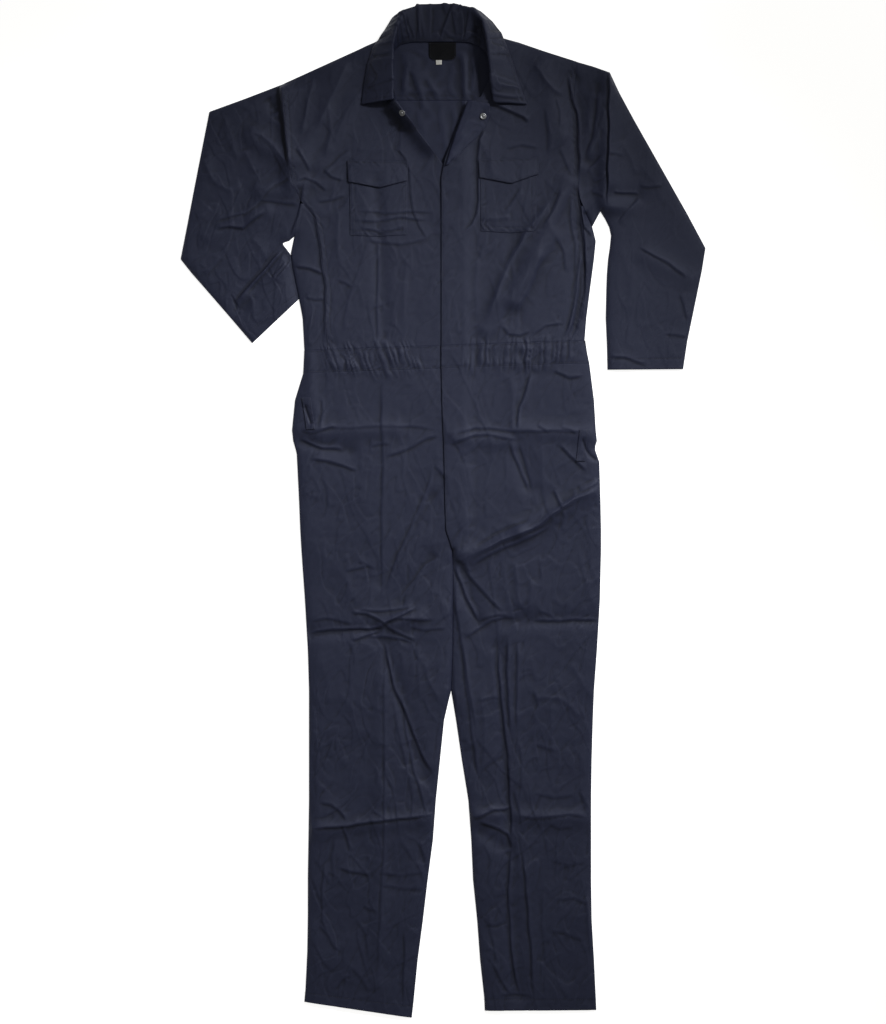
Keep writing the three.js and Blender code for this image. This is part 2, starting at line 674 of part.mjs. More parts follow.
// The facing turned out over the left front at the neck.
const FACING_EASE = 1.8;
function facing() {
  const grid = places(FACING_LEFT, "foldX", "foldY", 14).map((place) => {
    const at = between(FACING_LEFT, place);
    return evenly(5).map((u) => {
      const x = mix(at.foldX, at.edgeX, u);
      const y = mix(at.foldY, at.edgeY, u);
      const roll = 2.2 * Math.sin(Math.PI * Math.min(1, u + 0.25));
      const lift = CLOTH + SEAM + FACING_EASE + Math.max(0, roll);
      return new THREE.Vector3(x, y, upper(x, y) + overlap(x, y) + lift);
    });
  });
  return sheet("front_facing_left", grid, PATCH_CLOTH);
}

// A flat tab lying on the yoke, with its lower corners rounded.
function label(name, x, y, width, height, corner, thickness, colour) {
  const shape = new THREE.Shape();
  shape.moveTo(0, 0);
  shape.lineTo(0, corner - height);
  shape.absarc(corner, corner - height, corner, Math.PI, 1.5 * Math.PI);
  shape.absarc(width - corner, corner - height, corner, 1.5 * Math.PI, 2 * Math.PI);
  shape.lineTo(width, 0);
  const geometry = new THREE.ExtrudeGeometry(shape, {
    depth: thickness,
    bevelEnabled: false,
    curveSegments: 5,
  });
  const mesh = namedMesh(name, geometry, colour);
  mesh.position.set(x, y, CLOTH + 2 * SEAM);
  return mesh;
}

// A press stud: a domed disc with a rim, turned to lie along the cloth that it is set in.
const STUD_RADIUS = 5.5;
const STUD_PROFILE = [
  [0, 0], [STUD_RADIUS, 0], [STUD_RADIUS, 0.8], [4.2, 1.3], [3.4, 1.0], [2.2, 1.1], [1.6, 2.2], [0, 2.4],
];
function stud(name, x, y, lift) {
  const reach = 4;
  const slopeX = (upper(x + reach, y) - upper(x - reach, y)) / (2 * reach);
  const slopeY = (upper(x, y + reach) - upper(x, y - reach)) / (2 * reach);
  const facing = new THREE.Vector3(-slopeX, -slopeY, 1).normalize();
  const profile = STUD_PROFILE.map(([r, h]) => new THREE.Vector2(r, h));
  const mesh = namedMesh(name, new THREE.LatheGeometry(profile, 16), STUD_METAL, true);
  mesh.quaternion.setFromUnitVectors(new THREE.Vector3(0, 1, 0), facing);
  mesh.position.set(x, y, upper(x, y)).addScaledVector(facing, lift);
  return mesh;
}

// The welt of the opening at the side of the hip, from its top down.
const WELT_WIDTH = 15;
const WELT_LIFT = CLOTH + 3.6 * SEAM;
function sideWelt(side, topX, topY, bottomX, bottomY) {
  const grid = evenly(3).map((v) =>
    evenly(2).map((u) => {
      const x = mix(topX, bottomX, v) + u * WELT_WIDTH;
      const y = mix(topY, bottomY, v);
      return new THREE.Vector3(x, y, upper(x, y) + WELT_LIFT);
    }),
  );
  return sheet(`side_welt_${side}`, grid, PATCH_CLOTH);
}

const none = () => 0;
const suit = new THREE.Group();
suit.add(
  backYoke(),
  backBody(),
  backWaistband(),
  backLeg("right", LEG_RIGHT, -1),
  backLeg("left", LEG_LEFT, 1),
  ...bodiceFront("right", clearOfSeams(FRONT_RIGHT, false, true), POCKET_RIGHT, none),
  ...bodiceFront("left", clearOfSeams(FRONT_LEFT, false, true), POCKET_LEFT, overlap),
  backWrap("right", clearOfSeams(WRAP_RIGHT, true, true), -1),
  backWrap("left", clearOfSeams(WRAP_LEFT, true, true), 1),
  frontWaistband("right", -236, UNDERLAP_X, -200, -35, none),
  frontWaistband("left", FRONT_EDGE_X, 243, 30, 222, overlap),
  frontLeg("right", LEG_RIGHT, none),
  frontLeg("left", LEG_LEFT, overlap),
  sleeve("right", SLEEVE_RIGHT, ARMHOLE_RIGHT, -1),
  sleeve("left", SLEEVE_LEFT, ARMHOLE_LEFT, 1),
  collar(),
  facing(),
  label("neck_label", -24, 795, 46, 34, 10, 0.6, LABEL_BLACK),
  label("size_tab", -12, 760, 10, 11, 1, 0.5, TAB_WHITE),
  stud("stud_left", 68, 672, 5.2),
  stud("stud_right", -76, 668, 3.6),
  sideWelt("right", -240, 194, -232, 140),
  sideWelt("left", 232, 140, 226, 86),
);

export default suit;
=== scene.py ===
import math

import bpy
import numpy as np
from bpy.props import FloatProperty, FloatVectorProperty, PointerProperty
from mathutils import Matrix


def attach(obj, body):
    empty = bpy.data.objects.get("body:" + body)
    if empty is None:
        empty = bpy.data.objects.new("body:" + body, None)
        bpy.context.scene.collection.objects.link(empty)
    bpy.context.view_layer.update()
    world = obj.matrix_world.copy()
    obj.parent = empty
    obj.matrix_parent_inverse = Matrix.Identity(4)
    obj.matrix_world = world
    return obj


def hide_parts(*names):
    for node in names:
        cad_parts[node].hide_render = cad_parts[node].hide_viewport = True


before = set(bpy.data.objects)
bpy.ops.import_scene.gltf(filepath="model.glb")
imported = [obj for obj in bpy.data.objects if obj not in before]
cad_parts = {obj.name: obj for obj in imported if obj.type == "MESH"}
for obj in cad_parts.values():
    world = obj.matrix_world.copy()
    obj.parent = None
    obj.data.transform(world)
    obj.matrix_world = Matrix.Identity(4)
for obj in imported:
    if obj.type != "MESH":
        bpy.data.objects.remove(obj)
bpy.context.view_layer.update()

bl_info = {
    "name": "Boiler suit, laid flat",
    "version": (1, 0, 0),
    "blender": (4, 5, 0),
    "location": "3D View > Sidebar > Boiler suit",
    "description": "Builds the cloth, sewing and finish of a boiler suit around its solids",
    "category": "Object",
}

MM = 0.001

# Driving sizes in millimetres, as in the part's source
CLOTH = 1.2
SEAM = 0.3  # the gap between two pieces
UPPER = CLOTH + SEAM
SWELL = 3.2  # how far the upper layer bulges, and over what width from its edges
SWELL_REACH = 22.0
COLLAR_CLOTH = 1.8
FRONT_EDGE_X = -3
UNDERLAP_X = 31
CROTCH_Y = -65
FLY_END_Y = -31
YOKE_SEAM_Y = 700
WAIST_SLOPE = 0.036
WALL = 1.05  # the upper layer's panels
THIN_WALL = 0.9  # sleeves, pockets, flaps and welts
INSIDE_FLOOR = 1.25  # the lowest that the inside of the upper layer comes
SHARP_CREST = 1.5  # creases with a tighter crest than this are folded over

# The picture that the camera frames, and the camera
PICTURE_ROWS = 1024  # pixels
PIXEL = 1.7  # millimetres on the suit
LENS = 85.0
SENSOR = 36.0


def waist_top(x):
    return 283 + WAIST_SLOPE * x


def waist_bottom(x):
    return 244 + WAIST_SLOPE * x


# Sections of the panels: one end x and y, the other end x and y. The suit's left lies at
# positive x, its collar at positive y, and the surface under it at a height of 0.
FRONT_RIGHT = [
    (-270, 729, -88, 812), (-271, 700, -86, 764), (-269, 675, -84, 730), (-267, 650, -80, 697),
    (-265, 622, -41, 645), (-264, 595, -3, 595), (-257, 561, 20, 561),
    (-243, 530, UNDERLAP_X, 530), (-218, 500, UNDERLAP_X, 500), (-211, 469, UNDERLAP_X, 469),
    (-206, 428, UNDERLAP_X, 428), (-199, 377, UNDERLAP_X, 377), (-201, 330, UNDERLAP_X, 330),
    (-197, waist_top(-197), UNDERLAP_X, waist_top(UNDERLAP_X)),
]
FRONT_LEFT = [
    (228, 766, 78, 814), (225, 733, 76, 770), (222, 700, 79, 735), (228, 675, 64, 706),
    (230, 655, 39, 694), (232, 634, 22, 650), (233, 599, 3, 599), (231, 570, FRONT_EDGE_X, 570),
    (230, 540, FRONT_EDGE_X, 540), (236, 508, FRONT_EDGE_X, 508), (238, 476, FRONT_EDGE_X, 476),
    (241, 430, FRONT_EDGE_X, 430), (242, 377, FRONT_EDGE_X, 377), (236, 330, FRONT_EDGE_X, 330),
    (216, waist_top(216), FRONT_EDGE_X, waist_top(FRONT_EDGE_X)),
]
WRAP_RIGHT = [
    (-238, 524, -244.4, 524), (-218, 500, -250, 500), (-211, 469, -253, 469),
    (-208, 440, -259, 440), (-204, 415, -256, 415), (-199, 377, -248, 377),
    (-201, 330, -239, 330), (-197, waist_top(-197), -236, waist_top(-236)),
]
WRAP_LEFT = [
    (233.8, 520, 238, 520), (236, 508, 243, 508), (237.5, 485, 254, 485), (240, 455, 260, 461),
    (241, 430, 257, 430), (242, 377, 250, 377), (236, 330, 244, 330),
    (216, waist_top(216), 241, waist_top(241)),
]
LEG_RIGHT = [
    (-238, waist_bottom(-238), UNDERLAP_X, waist_bottom(UNDERLAP_X)),
    (-252, 190, UNDERLAP_X, 190), (-257, 139, UNDERLAP_X, 139), (-255, 121, UNDERLAP_X, 121),
    (-249, 100, UNDERLAP_X, 100), (-245, 20, UNDERLAP_X, 20), (-243, -30, 28, FLY_END_Y),
    (-241, -65, 16.8, CROTCH_Y), (-235, -150, 16.8, -150), (-230, -235, 16.4, -235),
    (-228, -303, 13.9, -303), (-228, -354, 2, -354), (-228, -422, -5, -422), (-228, -490, -12, -490),
    (-229, -556, -17, -558), (-230, -622, -26, -626), (-230, -685, -34, -694),
    (-231, -748, -43, -762), (-234, -811, -50, -833), (-236, -833, -53, -860),
]
LEG_LEFT = [
    (249, waist_bottom(249), FRONT_EDGE_X, waist_bottom(FRONT_EDGE_X)),
    (257, 190, -2, 190), (260, 139, 0, 139), (262, 121, 1, 121), (258, 108, 1, 108),
    (266, 85, 2, 85), (268, 20, 3, 20), (269, -30, 5, FLY_END_Y), (269, -65, 16.4, CROTCH_Y),
    (267, -150, 16.4, -150), (262, -235, 16.0, -235), (257, -303, 13.6, -303), (255, -354, 22, -354),
    (253, -422, 32, -422), (252, -490, 43, -490), (252, -558, 48, -558), (252, -626, 51, -626),
    (253, -694, 58, -694), (257, -762, 63, -762), (260, -826, 70, -826), (261, -847, 71, -848),
]
SLEEVE_RIGHT = [
    (-270, 729, -253, 469), (-335, 704, -262, 461), (-398, 681, -269, 459),
    (-411, 615, -272, 457.5), (-423, 554, -272.5, 456), (-435, 491, -271, 453),
    (-447, 430, -266, 447), (-428, 406, -258.6, 436.5), (-406, 381, -256.6, 424),
    (-366, 335, -251.6, 396), (-325, 287, -244.6, 363),
]
SLEEVE_LEFT = [
    (228, 766, 254, 485), (256, 758, 262, 500), (284, 748, 268, 511), (300, 714, 276, 498),
    (326, 666, 283, 484), (356, 613, 286, 470), (386, 560, 284, 450), (416, 507, 281, 430),
    (447, 449, 279, 405), (441, 411, 278, 377), (427, 343, 277, 330), (416, 290, 279, 285),
    (409, 243, 280, 242),
]
ARMHOLE_RIGHT = [
    (-270, 729), (-271, 700), (-269, 675), (-267, 650), (-265, 622), (-264, 595),
    (-257, 561), (-243, 530), (-250, 500), (-253, 469),
]
ARMHOLE_LEFT = [
    (228, 766), (222, 700), (228, 675), (232, 634), (233, 599), (231, 570),
    (230, 540), (243, 508), (254, 485),
]
# Collar sections: neck seam x y, roll x y and height, outer edge x y
COLLAR = [
    (-90, 698, -84, 698, 26, -139, 692), (-91, 724, -84, 726, 26, -135, 723),
    (-92, 752, -85, 757, 26, -129, 758), (-88, 781, -84, 795, 26, -119, 789),
    (-70, 796, -78, 826, 24, -104, 812), (-52, 800, -68, 848, 19, -88, 838),
    (-28, 800, -38, 861, 15, -36, 836), (0, 800, 0, 862, 14, 0, 835),
    (24, 800, 26, 861, 15, 25, 836), (44, 799, 50, 853, 20, 68, 848),
    (60, 793, 66, 833, 27, 84, 834), (72, 781, 73, 806, 31, 99, 815),
    (86, 758, 77, 768, 31, 118, 765), (86, 736, 81, 730, 26, 130, 727),
    (84, 706, 86, 695, 18, 143, 692),
]
COLLAR_STATIONS = 230  # grid lines along it
COLLAR_COLUMNS = 46  # grid lines from its seam to its edge
COLLAR_STITCHES = 6.0  # from its edge
# Folds across the collar: place along it, lean, height, width
COLLAR_FOLDS = [
    (98, 0.1, 0.9, 6), (122, 0.2, 2.0, 4), (134, 0.1, 1.6, 3.5), (146, 0.0, 2.0, 4),
    (156, -0.1, 1.6, 3), (165, 0.1, 1.9, 3.5), (175, 0.0, 1.2, 3), (204, 0.4, 2.2, 5),
    (238, -0.2, 1.3, 5), (252, 0.1, 1.4, 4), (40, -0.2, 0.8, 6), (372, 0.2, 0.9, 6),
]
# The facing's fold x y, then its edge x y
FACING_LEFT = [
    (4, 588, 11, 590), (11, 612, 32, 612), (21, 642, 58, 637), (30, 667, 72, 655),
    (38, 688, 80, 676), (42, 699, 79, 693),
]
YOKE = [
    (-270, 728, -271, YOKE_SEAM_Y), (-204, 757, -204, YOKE_SEAM_Y), (-129, 794, -129, YOKE_SEAM_Y),
    (-88, 811, -88, YOKE_SEAM_Y), (-60, 802, -60, YOKE_SEAM_Y), (48, 802, 48, YOKE_SEAM_Y),
    (78, 813, 78, YOKE_SEAM_Y), (129, 799, 129, YOKE_SEAM_Y), (228, 765, 222, YOKE_SEAM_Y),
]
# Pockets and flaps, from the outer side to the front edge: top x y, bottom x y
POCKET_RIGHT = [(-160, 594, -158, 470), (-110, 595, -110, 468), (-61, 593, -61, 471)]
POCKET_LEFT = [(63, 597, 64, 477), (112, 598, 112, 474), (160, 600, 158, 477)]
FLAP_RIGHT = [(-163, 597, -161, 561), (-107, 596, -107, 551), (-60, 595, -60, 563)]
FLAP_LEFT = [(60, 598, 62, 568), (114, 600, 116, 558), (163, 602, 162, 574)]
WELT_RIGHT = [(-240, 194, -225, 194), (-232, 140, -217, 140)]
WELT_LEFT = [(232, 140, 247, 140), (226, 86, 241, 86)]
# Where the backs of the two legs meet
SEAT_SEAM = [(8, 244.3), (9, 120), (12, 0), (16.5, -65)]
SLEEVE_MIDDLE = 1.35  # height at which a sleeve's two sides meet in its folds
HEM = 19.0  # from a cuff or a leg's end to the row of stitches beside it
# Where the right sleeve is pressed down beside the body
PRESSED_CUFF = [(-262, 442), (-257, 424), (-245, 363)]
LABEL_BOX = (-24, 799, 46, 30, 9)  # left x, top y, width, height, corner
TAB_BOX = (-12, 771.5, 10, 10.5, 1)
STUD_LEFT = (68, 672, 5.2)  # x, y, height above the front's inside
STUD_RIGHT = (-68, 675, 2.3)
STUD_REACH = 5.0  # how far round a stud the slope of the cloth is measured
STUD_SECTORS = 40
# The press stud's turned outline: radius, height
STUD_PROFILE = [
    (0.0, 2.35), (0.7, 2.33), (1.3, 2.2), (1.75, 1.85), (2.05, 1.3), (2.4, 1.05), (2.9, 1.0),
    (3.3, 1.02), (3.6, 1.2), (4.0, 1.38), (4.5, 1.36), (5.0, 1.15), (5.4, 0.8), (5.5, 0.45),
    (5.45, 0.1), (5.2, 0.0), (0.0, 0.0),
]

# The large folds: a line, its height and its width on the left and right of the way
FOLDS = [
    (-80, 693, -56, 663, 14.5, 14.5, 11), (-78, 693, -22, 621, 9.5, 12.5, 13),
    (26, 645, 42, 697, 2, 14, 40), (8, 596, 42, 697, 1.4, 22, 40),
    (-100, 800, -84, 710, 3, 28, 40), (92, 806, 84, 710, 4, 45, 28),
    (-268, 712, -258, 560, 6, 42, 13), (281, 745, 277, 520, 8, 34, 13),
    (222, 740, 232, 600, -2.5, 14, 14), (-180, 760, -235, 600, 3, 18, 22),
    (-150, 700, -205, 590, 2.5, 16, 18), (170, 760, 200, 640, 3, 16, 20),
    (215, 560, 120, 360, 4, 14, 20), (190, 470, 75, 310, 3, 14, 18),
    (238, 480, 236, 330, -2.5, 14, 14), (-100, 300, -112, 560, -2, 13, 13),
    (115, 330, 122, 470, -1.5, 13, 13), (-245, 135, -80, 141, 2.5, 16, 14),
    (20, 128, 130, 120, 2.4, 16, 14), (130, 140, 250, 132, 2.5, 14, 14),
    (-240, 122, -160, 105, -2.5, 13, 13), (130, 120, 145, 45, -2.5, 13, 13),
    (30, -75, 130, -30, 4, 14, 18), (130, -30, 262, 40, 4.4, 14, 18),
    (-20, 25, -105, -120, -2, 13, 13), (-20, -75, -75, -150, -2, 13, 13),
    (24, -90, 62, -190, -2.5, 13, 13), (-225, -203, -100, -195, -3, 13, 15),
    (-100, -192, -40, -178, 4, 15, 13), (110, -186, 262, -180, -2.5, 13, 13),
    (-98, -225, -30, -450, -2.5, 13, 13), (95, -230, 112, -520, -2.5, 13, 14),
    (112, -520, 128, -820, -2.5, 13, 14), (-104, -280, -110, -800, 1.8, 13, 15),
    (-220, -540, -30, -520, 3, 13, 14), (50, -515, 240, -520, 3, 13, 14),
    (65, -545, 105, -570, -2.5, 13, 13), (-400, 470, -300, 512, 3, 14, 16),
    (-310, 545, -258, 545, 3, 13, 15), (-345, 350, -272, 450, -3, 14, 14),
    (-330, 640, -262, 590, 3, 16, 14), (262, 700, 236, 590, 3, 14, 18),
    (286, 540, 330, 540, -2.5, 13, 13), (345, 435, 420, 398, 2, 14, 16),
    (-230, 262, -215, 130, 2, 13, 15),
]
# Creases, drawn from left to right or from the top down: height, width on the
# left of the way, width on its right, roundness of the crest, then the points they run through
CREASES = [
    # along the side seams
    (1.5, 8, 2.4, 1.0, (-236, 530), (-219, 505), (-212, 469), (-207, 430), (-200, 378), (-202, 330),
     (-198, 280)),
    (1.1, 8, 2.4, 1.0, (232, 560), (231, 540), (236, 508), (239, 476), (242, 430), (242, 377)),
    # packing folds down the body and the legs
    (0.8, 12, 4, 1.0, (-112, 470), (-111, 380), (-112, 275)),
    (0.8, 12, 4, 1.0, (-104, 240), (-105, 160), (-103, 80), (-105, -20), (-104, -160)),
    (0.9, 10, 4, 1.1, (-100, -210), (-100, -380), (-100, -545), (-106, -680), (-114, -830)),
    (0.7, 14, 8, 3.0, (168, 150), (170, 90), (170, 30)),
    (0.6, 9, 5, 2.0, (122, 470), (118, 380), (116, 290)),
    (0.7, 9, 4, 2.0, (116, 240), (118, 190), (119, 130)),
    # packing fold across the hips
    (0.75, 9, 3, 1.2, (-246, 136), (-205, 141), (-167, 143), (-99, 145), (-56, 146), (-19, 141),
     (0, 136)),
    (1.1, 9, 4, 1.4, (3, 126), (28, 136), (52, 142), (105, 139), (131, 137), (199, 137), (258, 134)),
    (1.3, 8, 4, 1.4, (8, 112), (30, 122), (52, 130), (80, 130), (112, 125), (128, 122)),
    (1.2, 9, 3, 1.4, (-99, 92), (-56, 109), (-30, 122), (-5, 131)),
    (0.7, 6, 3, 1.2, (-125, 112), (-108, 116), (-90, 118)),
    # round the side openings
    (2.0, 7, 2.6, 0.9, (-246, 124), (-228, 117), (-205, 109), (-167, 105)),
    (1.5, 7, 2.8, 1.0, (-228, 90), (-200, 86), (-170, 79), (-143, 70)),
    (1.4, 5, 2.6, 1.0, (-243, 140), (-225, 134), (-200, 140), (-180, 148)),
    (-1.7, 2.2, 2.2, 0.8, (-236, 184), (-230, 165), (-223, 145)),
    (0.9, 4, 3, 1.0, (-206, 198), (-204, 170), (-212, 140)),
    (1.5, 6, 2.6, 1.0, (196, 117), (214, 96), (228, 82), (246, 68)),
    (-1.7, 2.2, 2.2, 0.8, (236, 128), (242, 106), (250, 96), (266, 86)),
    (1.0, 6, 3, 1.0, (160, 148), (172, 140), (176, 134)),
    (1.0, 6, 3, 1.0, (200, 142), (216, 140), (226, 132)),
    (0.8, 5, 3, 1.0, (-14, 80), (-6, 70), (4, 56)),
    (1.2, 8, 3, 1.0, (185, 240), (215, 226), (240, 232)),
    # left thigh
    (1.8, 6, 2.6, 0.9, (150, 240), (141, 206), (129, 178), (127, 138)),
    (1.5, 7, 3, 1.0, (112, 124), (120, 96), (132, 68), (146, 34)),
    (1.0, 7, 3, 1.2, (130, 118), (140, 80), (152, 36)),
    (2.3, 3.0, 3, 1.5, (40, -82), (70, -62), (97, -48), (131, -36), (150, -28), (165, -20),
     (182, -4), (199, 8), (224, 22), (268, 40)),
    (1.3, 6, 3, 1.0, (45, -94), (80, -72), (115, -57), (150, -44), (185, -24)),
    (-1.6, 3.4, 4, 1.6, (52, -62), (85, -38), (120, -24), (150, -12)),
    (1.5, 5, 3, 1.0, (188, 38), (194, 22), (202, 4)),
    (1.0, 6, 4, 1.4, (200, 4), (206, -10), (200, -32)),
    (1.2, 7, 3, 1.2, (232, 34), (250, 42), (266, 52)),
    (2.4, 7, 3, 0.9, (16, -84), (24, -108), (37, -141), (49, -165), (62, -190)),
    (1.4, 7, 3, 1.0, (28, -84), (46, -112), (80, -150), (104, -172)),
    (1.2, 6, 3, 1.2, (18, -78), (36, -88), (44, -104)),
    (1.4, 6, 3, 1.2, (13, -95), (22, -170), (34, -240), (48, -330), (58, -380)),
    (1.2, 6, 3, 1.2, (29, -214), (38, -290), (47, -354), (54, -410), (62, -470)),
    (0.8, 7, 4, 1.6, (122, -76), (126, -110), (132, -172)),
    (0.6, 7, 4, 1.6, (104, -84), (108, -120), (114, -170)),
    (0.7, 7, 4, 1.6, (150, -110), (150, -140), (146, -174)),
    (0.6, 9, 6, 2.0, (232, -60), (240, -110), (262, -170)),
    # right thigh
    (1.0, 7, 3, 1.0, (-16, 78), (-24, 50), (-39, 12), (-65, -48), (-82, -90), (-100, -134)),
    (1.2, 8, 3, 1.0, (-2, -74), (-31, -90), (-52, -118), (-76, -152)),
    (0.9, 6, 3, 1.0, (-167, -102), (-148, -98), (-124, -90)),
    (0.7, 6, 3, 1.4, (-146, -84), (-132, -88), (-116, -96)),
    (0.6, 9, 5, 2.0, (-30, 60), (-34, 0), (-56, -60), (-84, -130)),
    (0.5, 12, 8, 3.0, (-225, -60), (-190, -80), (-160, -120), (-150, -160)),
    (0.6, 8, 5, 2.0, (-240, 40), (-224, 30), (-206, 26)),
    # packing fold above the knees
    (2.6, 9, 3, 0.8, (-234, -205), (-190, -202), (-158, -199), (-128, -200), (-104, -196),
     (-90, -188)),
    (2.4, 7, 3, 0.8, (-112, -198), (-92, -186), (-66, -174), (-44, -162)),
    (1.7, 6, 3, 0.8, (-158, -170), (-130, -174), (-108, -184), (-92, -196)),
    (1.2, 5, 3, 0.8, (-146, -166), (-110, -169), (-76, -166), (-44, -160)),
    (1.6, 6, 3, 0.8, (-104, -190), (-76, -182), (-50, -182), (-16, -184)),
    (1.7, 5, 3, 0.8, (-100, -192), (-84, -202), (-64, -212), (-44, -219)),
    (1.5, 5, 3, 0.8, (-156, -220), (-134, -212), (-108, -202)),
    (1.2, 5, 3, 0.8, (-128, -212), (-96, -213), (-70, -217), (-50, -223)),
    (0.9, 6, 3, 1.0, (-230, -186), (-200, -182), (-176, -186), (-150, -190)),
    (0.9, 6, 3, 1.0, (-60, -194), (-30, -200), (8, -198)),
    (1.3, 7, 3, 1.0, (34, -216), (63, -198), (80, -186), (105, -180), (128, -182)),
    (1.2, 7, 3, 1.0, (60, -186), (90, -176), (112, -176)),
    (1.7, 8, 3, 0.9, (150, -184), (176, -186), (199, -186), (224, -182), (270, -184)),
    (0.8, 6, 3, 1.0, (162, -168), (178, -174), (188, -182)),
    # down the lower legs
    (2.3, 9, 3, 0.9, (-100, -214), (-94, -256), (-82, -303), (-66, -340), (-53, -371),
     (-38, -408), (-14, -452)),
    (1.1, 7, 3, 1.0, (-74, -300), (-62, -380), (-50, -440), (-34, -490), (-24, -528)),
    (0.7, 7, 4, 1.4, (-88, -300), (-80, -360), (-64, -430), (-48, -500)),
    (0.8, 7, 4, 1.6, (-34, -250), (-26, -280), (-6, -322)),
    (0.7, 7, 4, 1.6, (-42, -220), (-42, -270), (-38, -320)),
    (0.8, 14, 8, 3.0, (-180, -300), (-150, -340), (-136, -390)),
    (0.5, 12, 8, 3.0, (-215, -240), (-196, -280), (-190, -330)),
    (2.6, 10, 3, 0.9, (93, -214), (95, -280), (99, -330), (106, -390), (112, -440), (114, -500),
     (116, -580)),
    (1.8, 7, 3, 0.9, (111, -210), (109, -270), (110, -330), (114, -380)),
    (1.3, 7, 3, 1.0, (127, -214), (126, -280), (124, -340), (126, -376)),
    (0.8, 8, 4, 1.6, (80, -224), (86, -290), (92, -340)),
    (2.5, 9, 3, 0.9, (117, -566), (111, -620), (110, -670), (116, -730), (119, -770), (132, -826)),
    (1.8, 9, 3, 0.9, (133, -566), (140, -620), (145, -690), (150, -760), (154, -826)),
    (0.9, 7, 4, 1.4, (120, -470), (128, -500), (134, -540)),
    (0.8, 7, 4, 1.4, (126, -380), (134, -430), (130, -500)),
    (0.7, 8, 4, 1.6, (66, -300), (72, -380), (66, -460)),
    (0.8, 8, 4, 1.6, (148, -322), (172, -314), (199, -316), (220, -332), (238, -356)),
    (0.7, 8, 4, 1.6, (187, -316), (184, -370), (188, -424)),
    (0.7, 7, 4, 1.4, (154, -396), (178, -402), (202, -410)),
    (0.7, 7, 4, 1.4, (60, -322), (80, -316), (100, -318)),
    (0.8, 7, 4, 1.4, (150, -300), (162, -330), (150, -360)),
    (0.6, 8, 5, 1.8, (216, -250), (236, -290), (256, -322)),
    # packing fold at the shins
    (2.3, 8, 3, 0.9, (-234, -542), (-200, -536), (-167, -534), (-133, -530), (-99, -524),
     (-65, -522), (-40, -518), (-12, -514)),
    (1.3, 6, 3, 1.0, (-212, -493), (-190, -498), (-176, -508), (-162, -526)),
    (1.2, 6, 3, 1.0, (-172, -530), (-164, -552), (-156, -580)),
    (0.9, 5, 3, 1.0, (-118, -506), (-108, -514), (-98, -524)),
    (1.8, 7, 3, 0.9, (46, -522), (64, -518), (88, -507), (104, -506), (120, -499)),
    (2.0, 6, 3, 0.9, (58, -526), (76, -534), (96, -540), (110, -548), (118, -574)),
    (1.2, 8, 3, 1.2, (120, -516), (150, -520), (182, -519), (214, -514), (250, -521)),
    (0.8, 6, 3, 1.2, (178, -530), (196, -538), (222, -536)),
    (0.9, 6, 3, 1.2, (232, -474), (242, -496), (252, -512)),
    (0.7, 7, 4, 1.4, (150, -476), (186, -486), (226, -480)),
    # below them
    (1.3, 6, 3, 1.0, (-180, -604), (-160, -612), (-140, -614), (-122, -618)),
    (1.0, 6, 3, 1.2, (-201, -590), (-205, -640), (-206, -694), (-196, -720)),
    (0.9, 6, 3, 1.2, (-212, -700), (-196, -720), (-186, -738), (-172, -748)),
    (0.9, 6, 3, 1.2, (-186, -814), (-174, -798), (-158, -786)),
    (1.2, 7, 3, 1.0, (-64, -704), (-66, -760), (-68, -840)),
    (0.9, 6, 3, 1.2, (-40, -556), (-34, -580), (-24, -612)),
    (0.8, 6, 3, 1.2, (-136, -670), (-124, -676), (-112, -678)),
    (0.6, 7, 4, 1.4, (-110, -634), (-70, -640), (-28, -642)),
    (0.6, 7, 4, 1.4, (-112, -612), (-76, -618), (-34, -614)),
    (0.7, 7, 4, 1.4, (-184, -552), (-190, -590), (-184, -640)),
    (0.7, 7, 4, 1.4, (-150, -690), (-130, -720), (-128, -760)),
    (0.6, 7, 4, 1.4, (-226, -620), (-214, -640), (-206, -664)),
    (0.7, 7, 4, 1.4, (-160, -770), (-140, -790), (-124, -820)),
    (1.1, 6, 3, 1.0, (84, -768), (98, -794), (106, -808), (116, -822)),
    (0.8, 5, 3, 1.0, (94, -822), (120, -818), (156, -824)),
    (0.8, 7, 4, 1.4, (194, -660), (220, -656), (250, -668)),
    (0.8, 7, 4, 1.4, (180, -712), (206, -716), (240, -730)),
    (0.8, 7, 4, 1.4, (240, -640), (246, -700), (252, -764)),
    (0.7, 7, 4, 1.4, (66, -560), (80, -590), (78, -640)),
    (0.7, 7, 4, 1.4, (70, -700), (88, -704), (104, -696)),
    (0.7, 7, 4, 1.4, (76, -680), (84, -730), (92, -770)),
    (0.6, 8, 4, 1.4, (180, -590), (214, -600), (244, -594)),
    (0.6, 8, 4, 1.4, (170, -640), (168, -700), (176, -780)),
    # right half of the chest, and right side
    (1.1, 6, 3, 1.0, (-215, 526), (-192, 529), (-164, 538)),
    (1.0, 6, 3, 1.0, (-152, 496), (-116, 493), (-73, 501), (-24, 496)),
    (0.8, 6, 3, 1.0, (-148, 512), (-100, 507), (-50, 511), (-14, 508)),
    (0.9, 6, 3, 1.0, (-143, 482), (-120, 480), (-107, 475), (-86, 478), (-62, 486)),
    (0.8, 6, 3, 1.0, (-135, 461), (-100, 458), (-73, 455), (-20, 466)),
    (1.8, 6, 2.6, 0.9, (-252, 417), (-226, 413), (-203, 405)),
    (1.0, 5, 2.6, 1.0, (-234, 364), (-216, 361), (-200, 362)),
    (0.8, 6, 3, 1.0, (-182, 394), (-166, 390), (-153, 383)),
    (2.0, 12, 6, 2.4, (-156, 770), (-172, 742), (-186, 714), (-200, 682), (-214, 648)),
    (1.4, 8, 4, 1.6, (-218, 742), (-228, 700), (-236, 664), (-239, 636)),
